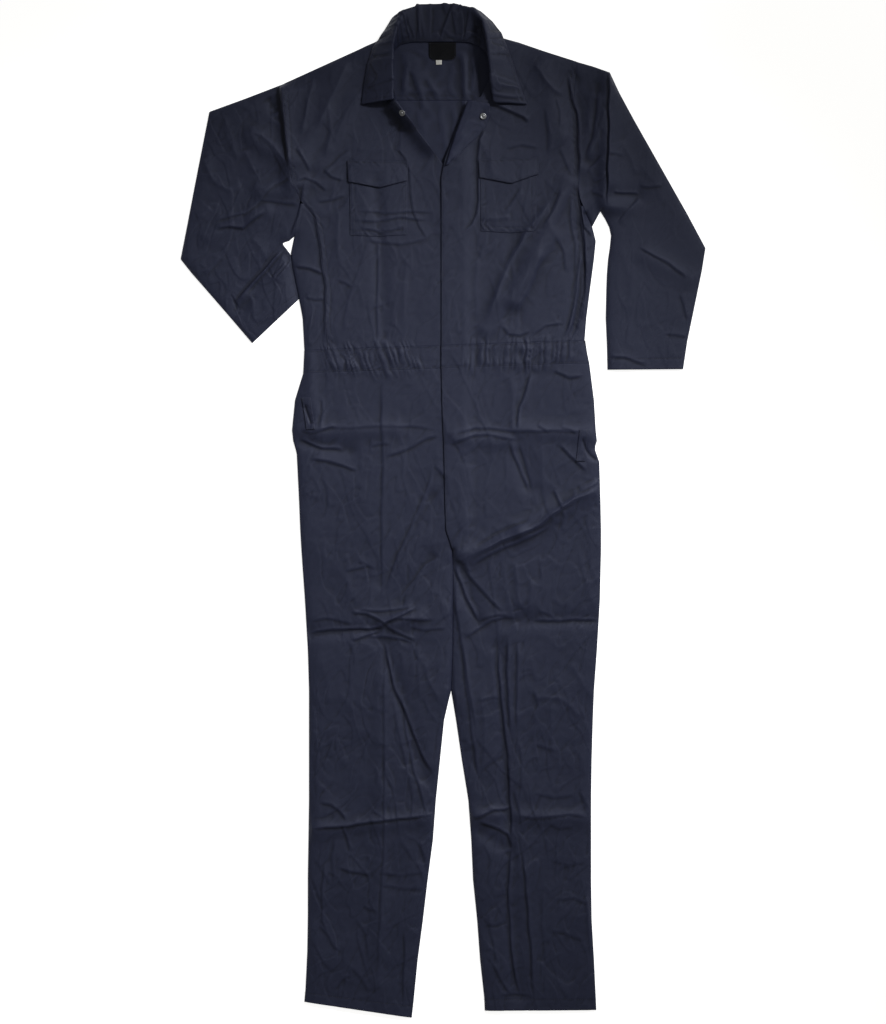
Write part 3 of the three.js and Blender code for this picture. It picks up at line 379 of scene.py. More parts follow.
    (1.1, 7, 4, 1.4, (-156, 616), (-179, 598), (-196, 582), (-206, 570)),
    (1.2, 6, 3, 1.2, (-204, 582), (-190, 570), (-170, 564)),
    (1.2, 6, 3, 1.2, (-250, 620), (-240, 604), (-232, 590), (-226, 574)),
    (1.6, 7, 3, 1.0, (-236, 560), (-240, 534), (-247, 505), (-262, 464)),
    (1.2, 6, 3, 1.2, (-252, 560), (-236, 566), (-216, 560), (-196, 544)),
    (0.9, 7, 4, 1.6, (-196, 700), (-190, 650), (-200, 600)),
    (0.6, 8, 5, 2.0, (-150, 620), (-120, 614), (-80, 622)),
    (0.6, 8, 5, 2.0, (-176, 520), (-180, 460), (-176, 400)),
    (0.5, 8, 5, 2.0, (-60, 440), (-66, 380), (-64, 310)),
    # left half of the chest, and left side
    (2.2, 10, 5, 1.8, (186, 534), (164, 502), (139, 471), (112, 420), (97, 386), (76, 322)),
    (1.5, 8, 4, 1.4, (202, 552), (190, 520), (180, 500), (168, 482)),
    (1.5, 9, 4, 1.6, (168, 452), (158, 414), (144, 376), (120, 340)),
    (1.2, 7, 3, 1.2, (134, 552), (118, 530), (103, 507)),
    (3.0, 8, 5, 1.4, (232, 520), (237, 462), (241, 420), (240, 377), (232, 335), (217, 284)),
    (2.4, 8, 4, 1.4, (232, 450), (230, 410), (226, 370), (218, 330), (206, 294)),
    (-2.8, 4, 4, 2.0, (239, 430), (237, 372), (231, 330), (220, 290)),
    (1.8, 6, 3, 1.2, (228, 560), (233, 520), (240, 484), (258, 464)),
    (1.2, 6, 3, 1.2, (218, 552), (216, 500), (224, 450), (226, 400), (218, 350)),
    (1.6, 8, 4, 1.6, (154, 764), (173, 736), (190, 717), (206, 706)),
    (2.8, 8, 4, 1.2, (86, 692), (100, 686), (118, 680), (136, 671), (146, 660)),
    (0.8, 7, 4, 1.4, (172, 690), (178, 650), (179, 606)),
    (0.8, 7, 4, 1.4, (190, 704), (198, 680), (200, 650)),
    (3.0, 7, 4, 1.3, (212, 750), (218, 710), (226, 680), (230, 640), (231, 600), (230, 560)),
    (1.8, 7, 4, 1.3, (262, 720), (262, 680), (254, 636), (242, 600)),
    (0.9, 7, 4, 1.6, (66, 500), (90, 498), (116, 502)),
    (0.7, 8, 5, 2.0, (60, 640), (80, 600), (88, 560)),
    (0.8, 7, 4, 1.4, (196, 620), (210, 590), (222, 570)),
    (0.8, 7, 4, 1.4, (104, 616), (134, 624), (164, 618)),
    (1.0, 6, 4, 1.4, (190, 470), (206, 440), (210, 404)),
    (0.7, 8, 5, 2.0, (60, 440), (56, 380), (60, 320)),
    (1.0, 6, 3, 1.2, (98, 318), (110, 302), (130, 300), (150, 310)),
    (1.0, 6, 3, 1.2, (150, 300), (174, 316), (206, 320)),
    # right sleeve
    (5.4, 9, 5, 1.3, (-279, 752), (-274, 690), (-269, 649), (-265, 610), (-262, 578)),
    (1.8, 9, 5, 1.8, (-336, 650), (-308, 641), (-286, 620), (-262, 586)),
    (1.0, 9, 5, 1.8, (-372, 676), (-362, 632), (-346, 594)),
    (1.0, 8, 5, 1.8, (-340, 616), (-330, 598), (-318, 576)),
    (1.5, 7, 4, 1.4, (-312, 530), (-298, 546), (-286, 556), (-262, 570)),
    (1.0, 6, 3, 1.2, (-316, 530), (-286, 527), (-243, 522)),
    (2.2, 9, 4, 1.3, (-392, 478), (-366, 484), (-340, 482), (-322, 496), (-300, 514)),
    (1.3, 8, 4, 1.3, (-392, 492), (-360, 502), (-337, 506), (-318, 522), (-300, 540)),
    (3.6, 8, 3, 1.0, (-270, 452), (-290, 430), (-308, 408), (-337, 377), (-358, 350)),
    (-1.4, 2.4, 2.4, 0.9, (-266, 450), (-288, 424), (-306, 402), (-335, 370)),
    (1.4, 6, 3, 1.0, (-256, 434), (-272, 411), (-288, 392)),
    (1.2, 6, 3, 1.0, (-268, 428), (-280, 412), (-292, 396)),
    (0.9, 7, 4, 1.4, (-404, 400), (-392, 414), (-376, 434)),
    (1.0, 7, 4, 1.6, (-410, 604), (-400, 584), (-386, 556)),
    (-2.0, 8, 8, 3.0, (-300, 706), (-291, 692), (-282, 676)),
    (0.9, 8, 5, 2.0, (-420, 500), (-408, 506), (-396, 520)),
    (0.8, 8, 5, 2.0, (-330, 380), (-322, 350), (-318, 320)),
    (0.8, 8, 5, 2.0, (-390, 560), (-360, 548), (-340, 556)),
    (0.7, 8, 5, 2.0, (-330, 470), (-310, 450), (-300, 424)),
    (0.9, 6, 3, 1.2, (-360, 372), (-350, 352), (-352, 336)),
    # left sleeve
    (4.4, 10, 3, 1.0, (283, 792), (281, 700), (281, 650), (279, 600), (279, 516)),
    (1.8, 8, 5, 1.6, (277, 690), (268, 660), (260, 634), (246, 594)),
    (1.4, 6, 3, 1.2, (270, 606), (258, 592), (244, 580)),
    (0.9, 5, 3, 1.0, (252, 544), (262, 540), (274, 534)),
    (1.6, 7, 3, 0.9, (288, 543), (310, 541), (334, 542)),
    (1.1, 6, 3, 1.0, (332, 555), (350, 553), (374, 554)),
    (1.5, 8, 4, 1.2, (335, 536), (318, 516), (296, 491)),
    (0.9, 7, 4, 1.4, (272, 608), (288, 608), (306, 606)),
    (0.9, 8, 5, 1.8, (300, 636), (320, 600), (331, 570)),
    (1.5, 8, 3, 1.2, (330, 452), (360, 434), (386, 420), (418, 396)),
    (0.9, 7, 4, 1.4, (402, 372), (410, 350), (417, 326)),
    (0.9, 6, 3, 1.2, (374, 302), (396, 301), (418, 298)),
    (1.2, 6, 3, 1.0, (279, 266), (309, 262), (345, 250)),
    (1.0, 6, 3, 1.2, (255, 560), (268, 566), (278, 578)),
    (0.8, 8, 5, 2.0, (250, 720), (252, 680), (246, 640)),
    (0.6, 10, 6, 2.4, (330, 600), (360, 560), (380, 520)),
    (0.5, 12, 8, 3.0, (300, 460), (320, 400), (316, 330)),
]
YOKE_STITCHES = (2.4, 7.6)  # from the yoke seam, where it shows inside the neck
NECK_INSIDE = (-80, 62)  # the x between which the yoke shows
# Folds of the back that show inside the neck: line, height, width
NECK_FOLDS = [
    (33, 780, 39, 712, 1.6, 7), (-62, 775, -66, 715, 0.9, 9), (-46, 765, -36, 712, 1.2, 9),
    (-30, 742, -12, 712, 1.0, 9),
]
# Sharp folds inside the neck, written like the creases
NECK_CREASES = [
    (2.8, 7, 4, 1.2, (32, 782), (34, 740), (36, 704), (32, 660)),
    (1.5, 5, 3, 1.0, (50, 776), (52, 744), (50, 712)),
    (1.4, 6, 3, 1.0, (-60, 770), (-66, 738), (-70, 708)),
    (2.0, 6, 3, 1.0, (-58, 756), (-46, 728), (-38, 706), (-34, 680)),
    (1.6, 5, 3, 1.0, (-74, 782), (-62, 788), (-46, 786), (-34, 778)),
    (1.3, 6, 3, 1.0, (-30, 738), (-20, 720), (-9, 706)),
    (1.0, 6, 3, 1.0, (44, 770), (48, 740), (46, 710)),
    (0.9, 6, 3, 1.2, (-8, 690), (-2, 650), (5, 604)),
    (0.8, 6, 3, 1.2, (14, 760), (10, 730), (14, 704)),
    (0.8, 6, 3, 1.2, (-46, 690), (-40, 660), (-30, 640)),
    (0.8, 5, 3, 1.2, (16, 694), (18, 660), (14, 630)),
    (0.9, 5, 3, 1.2, (-66, 716), (-40, 712), (-10, 716)),
]
# Sewn lines on the fronts, away from their borders
TACKED_LEFT = [(70, 649), (62, 634), (58, 598), (60, 530), (56, 505), (48, 488), (34, 476)]
TACKED_RIGHT = [
    (-80, 619), (-65, 602), (-58, 581), (-54, 530), (-51, 510), (-40, 484), (-26, 462),
]

# How a border is finished: how far its edge turns down, over what width, where its rows of
# stitches run and how much they pucker the cloth
BORDERS = {
    "seam": {"drop": 0.14, "radius": 1.4, "rows": (2.4,), "pucker": 0.3},
    "felled": {"drop": 0.45, "radius": 1.8, "rows": (2.2, 8.2), "pucker": 0.24},
    "joined": {"drop": 0.16, "radius": 1.4, "rows": (), "pucker": 0.2},
    "plain": {"drop": 0.4, "radius": 1.8, "rows": (), "pucker": 0.1},
    "fold": {"drop": 1.2, "radius": 3.0, "rows": (), "pucker": 0.05},
    "edge": {"drop": 0.5, "radius": 1.4, "rows": (2.2,), "pucker": 0.12},
    "hem": {"drop": 0.4, "radius": 1.4, "rows": (HEM,), "pucker": 0.22},
}
BORDER_STEPS = (0.0, 0.7, 1.7, 3.2, 5.2)  # grid lines beside every border
PANEL_STEP = 2.03
STRIDE = 4  # grid lines that the hidden inside and underside of the cloth skip over
BACK_STEP = 8.0
BODY_STEP = 4.2
YOKE_STEP = 3.6  # finer, because the yoke shows inside the neck


def mix(a, b, t):
    return a + (b - a) * t


def smooth(t):
    t = np.clip(t, 0.0, 1.0)
    return t * t * (3.0 - 2.0 * t)


def noise(x, y, cell, seed):
    """Smooth random values from -1 to 1 over the plane, with a drawn slope at each cell's corner."""
    reach = 1500.0
    size = int(2 * reach / cell) + 3
    angle = np.random.default_rng(seed).uniform(0.0, 2 * math.pi, (size, size))
    u = (x + reach) / cell
    v = (y + reach) / cell
    i = np.clip(np.floor(u).astype(int), 0, size - 2)
    j = np.clip(np.floor(v).astype(int), 0, size - 2)
    s = u - i
    t = v - j
    corners = []
    for di, dj in ((0, 0), (1, 0), (0, 1), (1, 1)):
        turn = angle[i + di, j + dj]
        corners.append(np.cos(turn) * (s - di) + np.sin(turn) * (t - dj))
    s = s * s * s * (s * (6 * s - 15) + 10)
    t = t * t * t * (t * (6 * t - 15) + 10)
    return 1.5 * mix(mix(corners[0], corners[1], s), mix(corners[2], corners[3], s), t)


def from_line(x, y, x1, y1, x2, y2):
    """Distance across a straight stretch (positive on the right), past its ends, share along it."""
    dx = x2 - x1
    dy = y2 - y1
    length = math.hypot(dx, dy)
    along = ((x - x1) * dx + (y - y1) * dy) / length
    across = ((x - x1) * dy - (y - y1) * dx) / length
    past = np.maximum(0.0, np.maximum(-along, along - length))
    return across, past, along / length


def from_path(x, y, path):
    """Signed distance to a path (positive on the right of the way) and the share along it."""
    lengths = [math.dist(a, b) for a, b in zip(path[:-1], path[1:])]
    nearest = np.full(x.shape, np.inf)
    signed = np.zeros(x.shape)
    share = np.zeros(x.shape)
    run = 0.0
    for (x1, y1), (x2, y2), length in zip(path[:-1], path[1:], lengths):
        across, past, part = from_line(x, y, x1, y1, x2, y2)
        away = np.hypot(across, past)
        closer = away < nearest
        nearest = np.where(closer, away, nearest)
        signed = np.where(closer, np.copysign(away, across), signed)
        place = (run + np.clip(part, 0.0, 1.0) * length) / sum(lengths)
        share = np.where(closer, place, share)
        run += length
    return signed, share


def ends(rows, first, second):
    return [(row[first], row[second]) for row in rows]


CLOSED_EDGES = [
    ends(WRAP_RIGHT[2:], 2, 3),
    ends(WRAP_LEFT[1:], 2, 3),
    [(-236, 283), (-238, 235), *ends(LEG_RIGHT[1:], 0, 1), (-236, -900)],
    [(241, 292), (249, 253), *ends(LEG_LEFT[1:], 0, 1), (261, -900)],
    [*ends(LEG_RIGHT[7:], 2, 3), (-53, -900)],
    [*ends(LEG_LEFT[8:], 2, 3), (71, -900)],
    ends(SLEEVE_RIGHT, 0, 1),
    ends(SLEEVE_RIGHT, 2, 3),
    ends(SLEEVE_LEFT, 0, 1),
    ends(SLEEVE_LEFT, 2, 3),
    [(-270, 729), (-88, 812)],
    [(78, 814), (228, 766)],
]


def edge_distance(x, y):
    nearest = np.full(x.shape, np.inf)
    for line in CLOSED_EDGES:
        for (x1, y1), (x2, y2) in zip(line[:-1], line[1:]):
            across, past, _ = from_line(x, y, x1, y1, x2, y2)
            nearest = np.minimum(nearest, np.hypot(across, past))
    return nearest


def large_folds(x, y):
    total = np.zeros(x.shape)
    for x1, y1, x2, y2, tall, left, right in FOLDS:
        across, past, _ = from_line(x, y, x1, y1, x2, y2)
        width = np.where(across < 0, left, right)
        total += tall * np.exp(-((across / width) ** 2) - (past / min(left, right)) ** 2)
    return total


def sharp_fold(signed, lit, shaded, crest):
    """A fold pressed over itself: it swells, drops steeply and comes slowly back."""
    width = np.where(signed < 0, lit, shaded)
    return np.exp(-np.abs(signed) / width) * (0.25 - 0.65 * np.tanh(signed / crest))


def creases(x, y, table=CREASES):
    """The listed creases, a little unsteady along their way."""
    wander = 1.8
    wander_length = 38.0
    xs = x + wander * noise(x, y, wander_length, 3)
    ys = y + wander * noise(x, y, wander_length, 4)
    total = np.zeros(x.shape)
    for tall, left, right, crest, *path in table:
        points = np.array(path, float)
        reach = 4.5 * max(left, right)
        low = points.min(0) - reach
        high = points.max(0) + reach
        near = (xs > low[0]) & (xs < high[0]) & (ys > low[1]) & (ys < high[1])
        if not near.any():
            continue
        signed, share = from_path(xs[near], ys[near], path)
        if crest < SHARP_CREST and tall > 0:
            shape = sharp_fold(signed, left, 2.4 * right, 1.1 * crest + 0.45)
        else:
            width = np.where(signed < 0, left, right)
            shape = np.exp(-(np.hypot(signed, crest) - crest) / width)
        total[near] += tall * shape * smooth(share / 0.18) * smooth((1.0 - share) / 0.18)
    return total


def ridged(x, y, cell, seed):
    """Winding ridges from 0 to 1."""
    return (1.0 - np.minimum(1.0, np.abs(noise(x, y, cell, seed)))) ** 3


def crumple(x, y, cell, width, seed):
    """Short sharp folds of a given width, present only here and there."""
    value = noise(x, y, cell, seed)
    signed = value * cell / 1.6
    present = smooth((noise(x, y, 1.9 * cell, seed + 50) + 0.12) / 0.45)
    return present * sharp_fold(signed, 2.2 * width, 1.4 * width, 0.3 * width)


def tacked(x, y):
    """The grooves that the sewn-down facings draw on the fronts."""
    total = np.zeros(x.shape)
    for path, depth in ((TACKED_LEFT, 2.3), (TACKED_RIGHT, 0.9)):
        signed, share = from_path(x, y, path)
        groove = sharp_fold(signed, 7.0, 5.0, 1.0)
        total += depth * groove * smooth(share / 0.05) * smooth((1.0 - share) / 0.08)
    return total


def wrinkles(x, y):
    """The small crumples that the cloth has all over, uneven in strength."""
    u = x + 5.0 * noise(x, y, 70.0, 31) + 0.8 * noise(x, y, 17.0, 30)
    v = y + 5.0 * noise(x, y, 70.0, 32) + 0.8 * noise(x, y, 17.0, 29)
    total = 1.1 * noise(u, v, 95.0, 33) + 0.5 * noise(u, v, 42.0, 34)
    turns = ((0.3, 1.0, 0.33), (1.2, 0.36, 1.0), (-0.7, 1.0, 0.42))
    for k, (turn, across, along) in enumerate(turns):
        a = u * math.cos(turn) + v * math.sin(turn)
        b = v * math.cos(turn) - u * math.sin(turn)
        total += 0.5 * crumple(a * across, b * along, 44.0, 4.0, 35 + k)
        total += 0.36 * crumple(a * across, b * along, 22.0, 2.6, 45 + k)
    total += 0.16 * noise(u, v, 11.0, 49)
    lower = 0.32 * smooth((150 - y) / 250) + 0.3 * smooth((-250 - y) / 200)
    return total * (0.85 + lower + 0.35 * smooth((-250 - x) / 30) - 0.3 * smooth((x - 270) / 30))


def gathers(x, y):
    """Elastic gathers of the waistband, dying out into the cloth above and below it."""
    middle = 263.5 + WAIST_SLOPE * x
    slant = np.where(x < 0, 0.34, -0.06)
    u = x + slant * (y - middle)
    line = np.zeros(x.shape)
    total = np.zeros(x.shape)
    for start, stop in ((-212, -26), (24, 234)):
        t = (u - start) / (stop - start)
        span = smooth(t / 0.12) * smooth((1.0 - t) / 0.12)
        wound = u + 6.5 * noise(u, line, 17.0, 21) + 2.2 * noise(x, y, 19.0, 22)
        phase = 2 * math.pi * wound / 9.6
        dip = (0.5 + 0.5 * np.cos(phase + 0.6 * np.sin(phase))) ** 2.2
        tall = 2.0 * (0.55 + 0.9 * noise(u, y, 22.0, 23) + 0.7 * noise(u, line, 15.0, 24))
        total += span * np.clip(tall, 0.1, 3.0) * (1.0 - dip)
    above = np.sign(y - middle) * 300.0
    length = 13.0 + 13.0 * noise(u, line + above, 12.0, 25)
    away = np.abs(y - middle)
    inside = 1.0 - 0.3 * smooth((away - 8.0) / 11.0)
    beyond = 1.0 - smooth((away - 17.0) / np.maximum(5.0, length + 6.0))
    return total * inside * beyond


def height(x, y):
    """Height of the inside of the upper layer above the surface it lies on."""
    inwards = np.clip(edge_distance(x, y) / SWELL_REACH, 0.0, 1.0)
    rounded = np.sqrt(1.0 - (1.0 - inwards) ** 2)
    settings = bpy.context.scene.boiler_suit
    fine = settings.crease_depth * creases(x, y) + settings.wrinkle_depth * wrinkles(x, y)
    fine = (fine + gathers(x, y) + tacked(x, y)) * smooth(inwards * 3.2)
    return UPPER + np.maximum(0.0, rounded * (SWELL + large_folds(x, y)) + fine)


def overlap(x, y):
    """How far the left front rises over the right one beneath it."""
    above_crotch = smooth((y - CROTCH_Y + 30) / 30)
    below_neck = 1.0 - smooth((y - 600) / 50)
    rise = 2.5 + 1.2 * smooth((y - 510) / 50)
    return rise * (1.0 - smooth((x - UNDERLAP_X - 3) / 25)) * above_crotch * below_neck


def outside_right(x, y):
    return height(x, y) + CLOTH


def outside_left(x, y):
    return height(x, y) + CLOTH + overlap(x, y)


def spread(length, count):
    """Shares from 0 to 1, drawn together beside both ends."""
    steps = np.array(BORDER_STEPS) * min(1.0, 0.2 * length / BORDER_STEPS[-1]) / length
    between = np.linspace(steps[-1], 1.0 - steps[-1], max(2, count - 2 * len(steps) + 2))
    return np.concatenate([steps[:-1], between, (1.0 - steps[::-1])[1:]])


def border_gaps(shares, widths, down):
    """How far each point of a panel lies from its four borders."""
    columns = shares.shape[1]
    return {
        "first": shares * widths[:, None],
        "second": (1.0 - shares) * widths[:, None],
        "start": np.repeat(down[:, None], columns, 1),
        "stop": np.repeat((down[-1] - down)[:, None], columns, 1),
    }


def plan(rows, step):
    """Plan points of a panel from its sections, and how far each lies from the four borders."""
    rows = np.array(rows, float)
    sides = [np.hypot(*np.diff(rows[:, k:k + 2], axis=0).T) for k in (0, 2)]
    run = np.concatenate([[0.0], np.cumsum(np.maximum(*sides))])
    down = spread(run[-1], int(run[-1] / step) + 8) * run[-1]
    first = np.stack([np.interp(down, run, rows[:, k]) for k in (0, 1)], -1)
    second = np.stack([np.interp(down, run, rows[:, k]) for k in (2, 3)], -1)
    widths = np.hypot(*(second - first).T)
    count = int(widths.max() / step) + 8
    shares = np.stack([spread(width, count) for width in widths])
    points = mix(first[:, None], second[:, None], shares[..., None])
    return points[..., 0], points[..., 1], border_gaps(shares, widths, down)


def border_shape(x, y, gaps, borders):
    """How the borders turn down, and how their stitches draw the cloth in."""
    total = np.zeros(x.shape)
    for name, kind in borders.items():
        finish = BORDERS[kind]
        gap = gaps[name]
        turned = np.clip(gap / finish["radius"], 0.0, 1.0)
        total -= finish["drop"] * (1.0 - np.sqrt(1.0 - (1.0 - turned) ** 2))
        run = x + y if name in ("first", "second") else x - y
        ripple = np.sin(run / 2.1 + 2.5 * noise(x, y, 21.0, 41)) * noise(x, y, 34.0, 42)
        total += finish["pucker"] * ripple * np.exp(-((gap / 9.0) ** 2)) * turned
        for row in finish["rows"]:
            total -= 0.24 * np.exp(-(((gap - row) / 1.5) ** 2))
            total += finish["pucker"] * ripple * np.exp(-(((gap - row) / 6.0) ** 2)) * turned
    return total


def surface_normals(grid):
    """Unit normals of a grid of points, which face up on the whole."""
    along = np.gradient(grid, axis=1)
    down = np.gradient(grid, axis=0)
    normal = np.cross(along, down)
    normal /= np.maximum(1e-9, np.linalg.norm(normal, axis=-1, keepdims=True))
    return normal * np.sign(normal[..., 2].sum())


def crest_mask(outer):
    """From -1 in the hollows to 1 on the crests of a grid's small relief."""
    z = outer[..., 2]
    calm = z.copy()
    for _ in range(7):
        calm[1:-1] = (calm[:-2] + 2 * calm[1:-1] + calm[2:]) / 4
        calm[:, 1:-1] = (calm[:, :-2] + 2 * calm[:, 1:-1] + calm[:, 2:]) / 4
    return np.clip((z - calm) / 0.4, -1.0, 1.0)


def lowest(z):
    """The lowest value within two grid lines of each grid point."""
    low = z.copy()
    for _ in range(2):
        low[1:] = np.minimum(low[1:], low[:-1])
        low[:-1] = np.minimum(low[:-1], low[1:])
        low[:, 1:] = np.minimum(low[:, 1:], low[:, :-1])
        low[:, :-1] = np.minimum(low[:, :-1], low[:, 1:])
    return low


def wide_faces(rows, columns, start, stop, rims, base):
    """Large faces from one column to another, with every point of the rims in their corners."""
    row_stops = [*range(0, rows - 1, STRIDE), rows - 1]
    column_stops = [*range(start, stop, STRIDE), stop]
    faces = []
    for r0, r1 in zip(row_stops[:-1], row_stops[1:]):
        for c0, c1 in zip(column_stops[:-1], column_stops[1:]):
            top = range(c0, c1 + 1) if r0 == 0 else (c0, c1)
            low = range(c1, c0 - 1, -1) if r1 == rows - 1 else (c1, c0)
            path = [(r0, c) for c in top]
            if rims and c1 == stop:
                path += [(r, c1) for r in range(r0 + 1, r1)]
            path += [(r1, c) for c in low]
            if rims and c0 == start:
                path += [(r, c0) for r in range(r1 - 1, r0, -1)]
            faces.append([base + r * columns + c % columns for r, c in path])
    return faces


def shell_faces(rows, columns, closed, hidden):
    """Faces of a shell whose outer grid is numbered first and whose inner grid comes after it."""
    ring = columns if closed else columns - 1
    first, last = hidden or (ring, ring)
    seen = [*range(first), *range(last, ring)]
    i, j = np.meshgrid(np.arange(rows - 1), np.array(seen), indexing="ij")
    j_next = (j + 1) % columns
    corners = [p * columns + q for p, q in ((i, j), (i, j_next), (i + 1, j_next), (i + 1, j))]
    under = rows * columns
    quads = [np.stack([corner.ravel() for corner in corners], -1)]
    for row, turn in ((0, 1), (rows - 1, -1)):
        a = row * columns + np.arange(ring)
        b = row * columns + (np.arange(ring) + 1) % columns
        quads.append(np.stack([b, a, a + under, b + under][::turn], -1))
    if not closed:
        for column, turn in ((0, 1), (columns - 1, -1)):
            a = np.arange(rows - 1) * columns + column
            b = a + columns
            quads.append(np.stack([a, b, b + under, a + under][::turn], -1))
    faces = np.concatenate(quads).tolist()
    faces += wide_faces(rows, columns, first, last, True, 0) if hidden else []
    inside = wide_faces(rows, columns, 0, ring, not closed, under)
    return faces + [face[::-1] for face in inside]


def shell(name, outer, inner, uv, material, closed=False, hidden=None):
    """A closed mesh from the outer and inner grid of a piece of cloth, in millimetres."""
    rows, columns = outer.shape[:2]
    faces = shell_faces(rows, columns, closed, hidden)
    if np.cross(outer[0, 1] - outer[0, 0], outer[1, 0] - outer[0, 0])[2] < 0:
        faces = [face[::-1] for face in faces]
    used = np.zeros(2 * rows * columns, bool)
    used[np.concatenate([np.array(face) for face in faces])] = True
    new_place = np.cumsum(used) - 1
    points = np.concatenate([outer.reshape(-1, 3), inner.reshape(-1, 3)])[used] * MM
    faces = [[int(new_place[k]) for k in face] for face in faces]
    mesh = bpy.data.meshes.new(name)
    mesh.from_pydata(points.tolist(), [], faces, shade_flat=False)
    flat_uv = np.concatenate([uv.reshape(-1, 2)] * 2)[used] * MM
    order = np.empty(len(mesh.loops), np.int32)
    mesh.loops.foreach_get("vertex_index", order)
    layer = mesh.uv_layers.new(name="Grain")
    layer.uv.foreach_set("vector", flat_uv[order].astype(np.float32).ravel())
    # The relief's crests and hollows, which the cloth's material lightens with a painted highlight
    # and darkens with painted shade
    crest = mesh.attributes.new("crest", "FLOAT", "POINT")
    values = crest_mask(outer).ravel()
    values = np.concatenate([values, np.zeros(len(values))])[used].astype(np.float32)
    crest.data.foreach_set("value", values)
    mesh.materials.append(material)
    piece = bpy.data.objects.new(name, mesh)
    bpy.context.scene.collection.objects.link(piece)
    return piece


def declare(piece, node):
    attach(piece, "root")
    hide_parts(node)


def inset(grid, gaps, border, distance):
    """The line on a grid that runs at a distance from one of its borders."""
    gap = gaps[border]
    lines = zip(gap, grid) if border in ("first", "second") else zip(gap.T, grid.swapaxes(0, 1))
    path = []
    for along, points in lines:
        if along.max() < distance * 1.6:
            continue
        order = np.argsort(along)
        path.append([np.interp(distance, along[order], points[order, k]) for k in range(3)])
    return np.array(path)


def sewn_borders(grid, gaps, borders):
    paths = []
    for name, kind in borders.items():
        for row in BORDERS[kind]["rows"]:
            path = inset(grid, gaps, name, row)
            if len(path) > 2:
                paths.append(path)
    return paths


def on_surface(path, surface):
    """A plan path laid on a surface, with points close together."""
    points = np.array(path, float)
    run = np.concatenate([[0.0], np.cumsum(np.hypot(*np.diff(points, axis=0).T))])
    fine = np.linspace(0.0, run[-1], max(3, int(run[-1] / 4)))
    x = np.interp(fine, run, points[:, 0])
    y = np.interp(fine, run, points[:, 1])
    return np.stack([x, y, surface(x, y)], -1)


def socket_of(tree, name):
    for item in tree.interface.items_tree:
        if item.name == name and item.in_out == "INPUT":
            return item.identifier
    raise KeyError(name)


def stitch_tree():
    """Geometry nodes that set spindle-shaped stitches along the lines of a mesh."""
    tree = bpy.data.node_groups.new("stitch_rows", "GeometryNodeTree")
    face = tree.interface
    face.new_socket("Geometry", in_out="INPUT", socket_type="NodeSocketGeometry")
    for name, value in (("Pitch", 0.0034), ("Stitch length", 0.0026), ("Thread", 0.0006)):
        item = face.new_socket(name, in_out="INPUT", socket_type="NodeSocketFloat")
        item.default_value = value
        item.subtype = "DISTANCE"
    face.new_socket("Geometry", in_out="OUTPUT", socket_type="NodeSocketGeometry")
    nodes, links = tree.nodes, tree.links
    given = nodes.new("NodeGroupInput")
    result = nodes.new("NodeGroupOutput")
    curve = nodes.new("GeometryNodeMeshToCurve")
    places = nodes.new("GeometryNodeResampleCurve")
    places.mode = "LENGTH"
    spindle = nodes.new("GeometryNodeMeshIcoSphere")
    spindle.inputs["Radius"].default_value = 0.5
    spindle.inputs["Subdivisions"].default_value = 1
    size = nodes.new("ShaderNodeCombineXYZ")
    shape = nodes.new("GeometryNodeTransform")
    tangent = nodes.new("GeometryNodeInputTangent")
    turn = nodes.new("FunctionNodeAlignRotationToVector")
    turn.axis = "X"
    vary = nodes.new("FunctionNodeRandomValue")
    vary.data_type = "FLOAT"
    vary.inputs[2].default_value = 0.85
    vary.inputs[3].default_value = 1.1
    vary.inputs["Seed"].default_value = 7
    place = nodes.new("GeometryNodeInstanceOnPoints")
    real = nodes.new("GeometryNodeRealizeInstances")
    paint = nodes.new("GeometryNodeSetMaterial")
    paint.inputs["Material"].default_value = bpy.data.materials["thread_navy"]
    links.new(given.outputs["Geometry"], curve.inputs["Mesh"])
    links.new(curve.outputs["Curve"], places.inputs["Curve"])
    links.new(given.outputs["Pitch"], places.inputs["Length"])
    links.new(given.outputs["Stitch length"], size.inputs["X"])
    links.new(given.outputs["Thread"], size.inputs["Y"])
    links.new(given.outputs["Thread"], size.inputs["Z"])
    links.new(spindle.outputs["Mesh"], shape.inputs["Geometry"])
    links.new(size.outputs["Vector"], shape.inputs["Scale"])
    links.new(tangent.outputs["Tangent"], turn.inputs["Vector"])
    links.new(places.outputs["Curve"], place.inputs["Points"])
    links.new(shape.outputs["Geometry"], place.inputs["Instance"])
    links.new(turn.outputs["Rotation"], place.inputs["Rotation"])
    links.new(vary.outputs[1], place.inputs["Scale"])
    links.new(place.outputs["Instances"], real.inputs["Geometry"])
    links.new(real.outputs["Geometry"], paint.inputs["Geometry"])
    links.new(paint.outputs["Geometry"], result.inputs["Geometry"])
    return tree


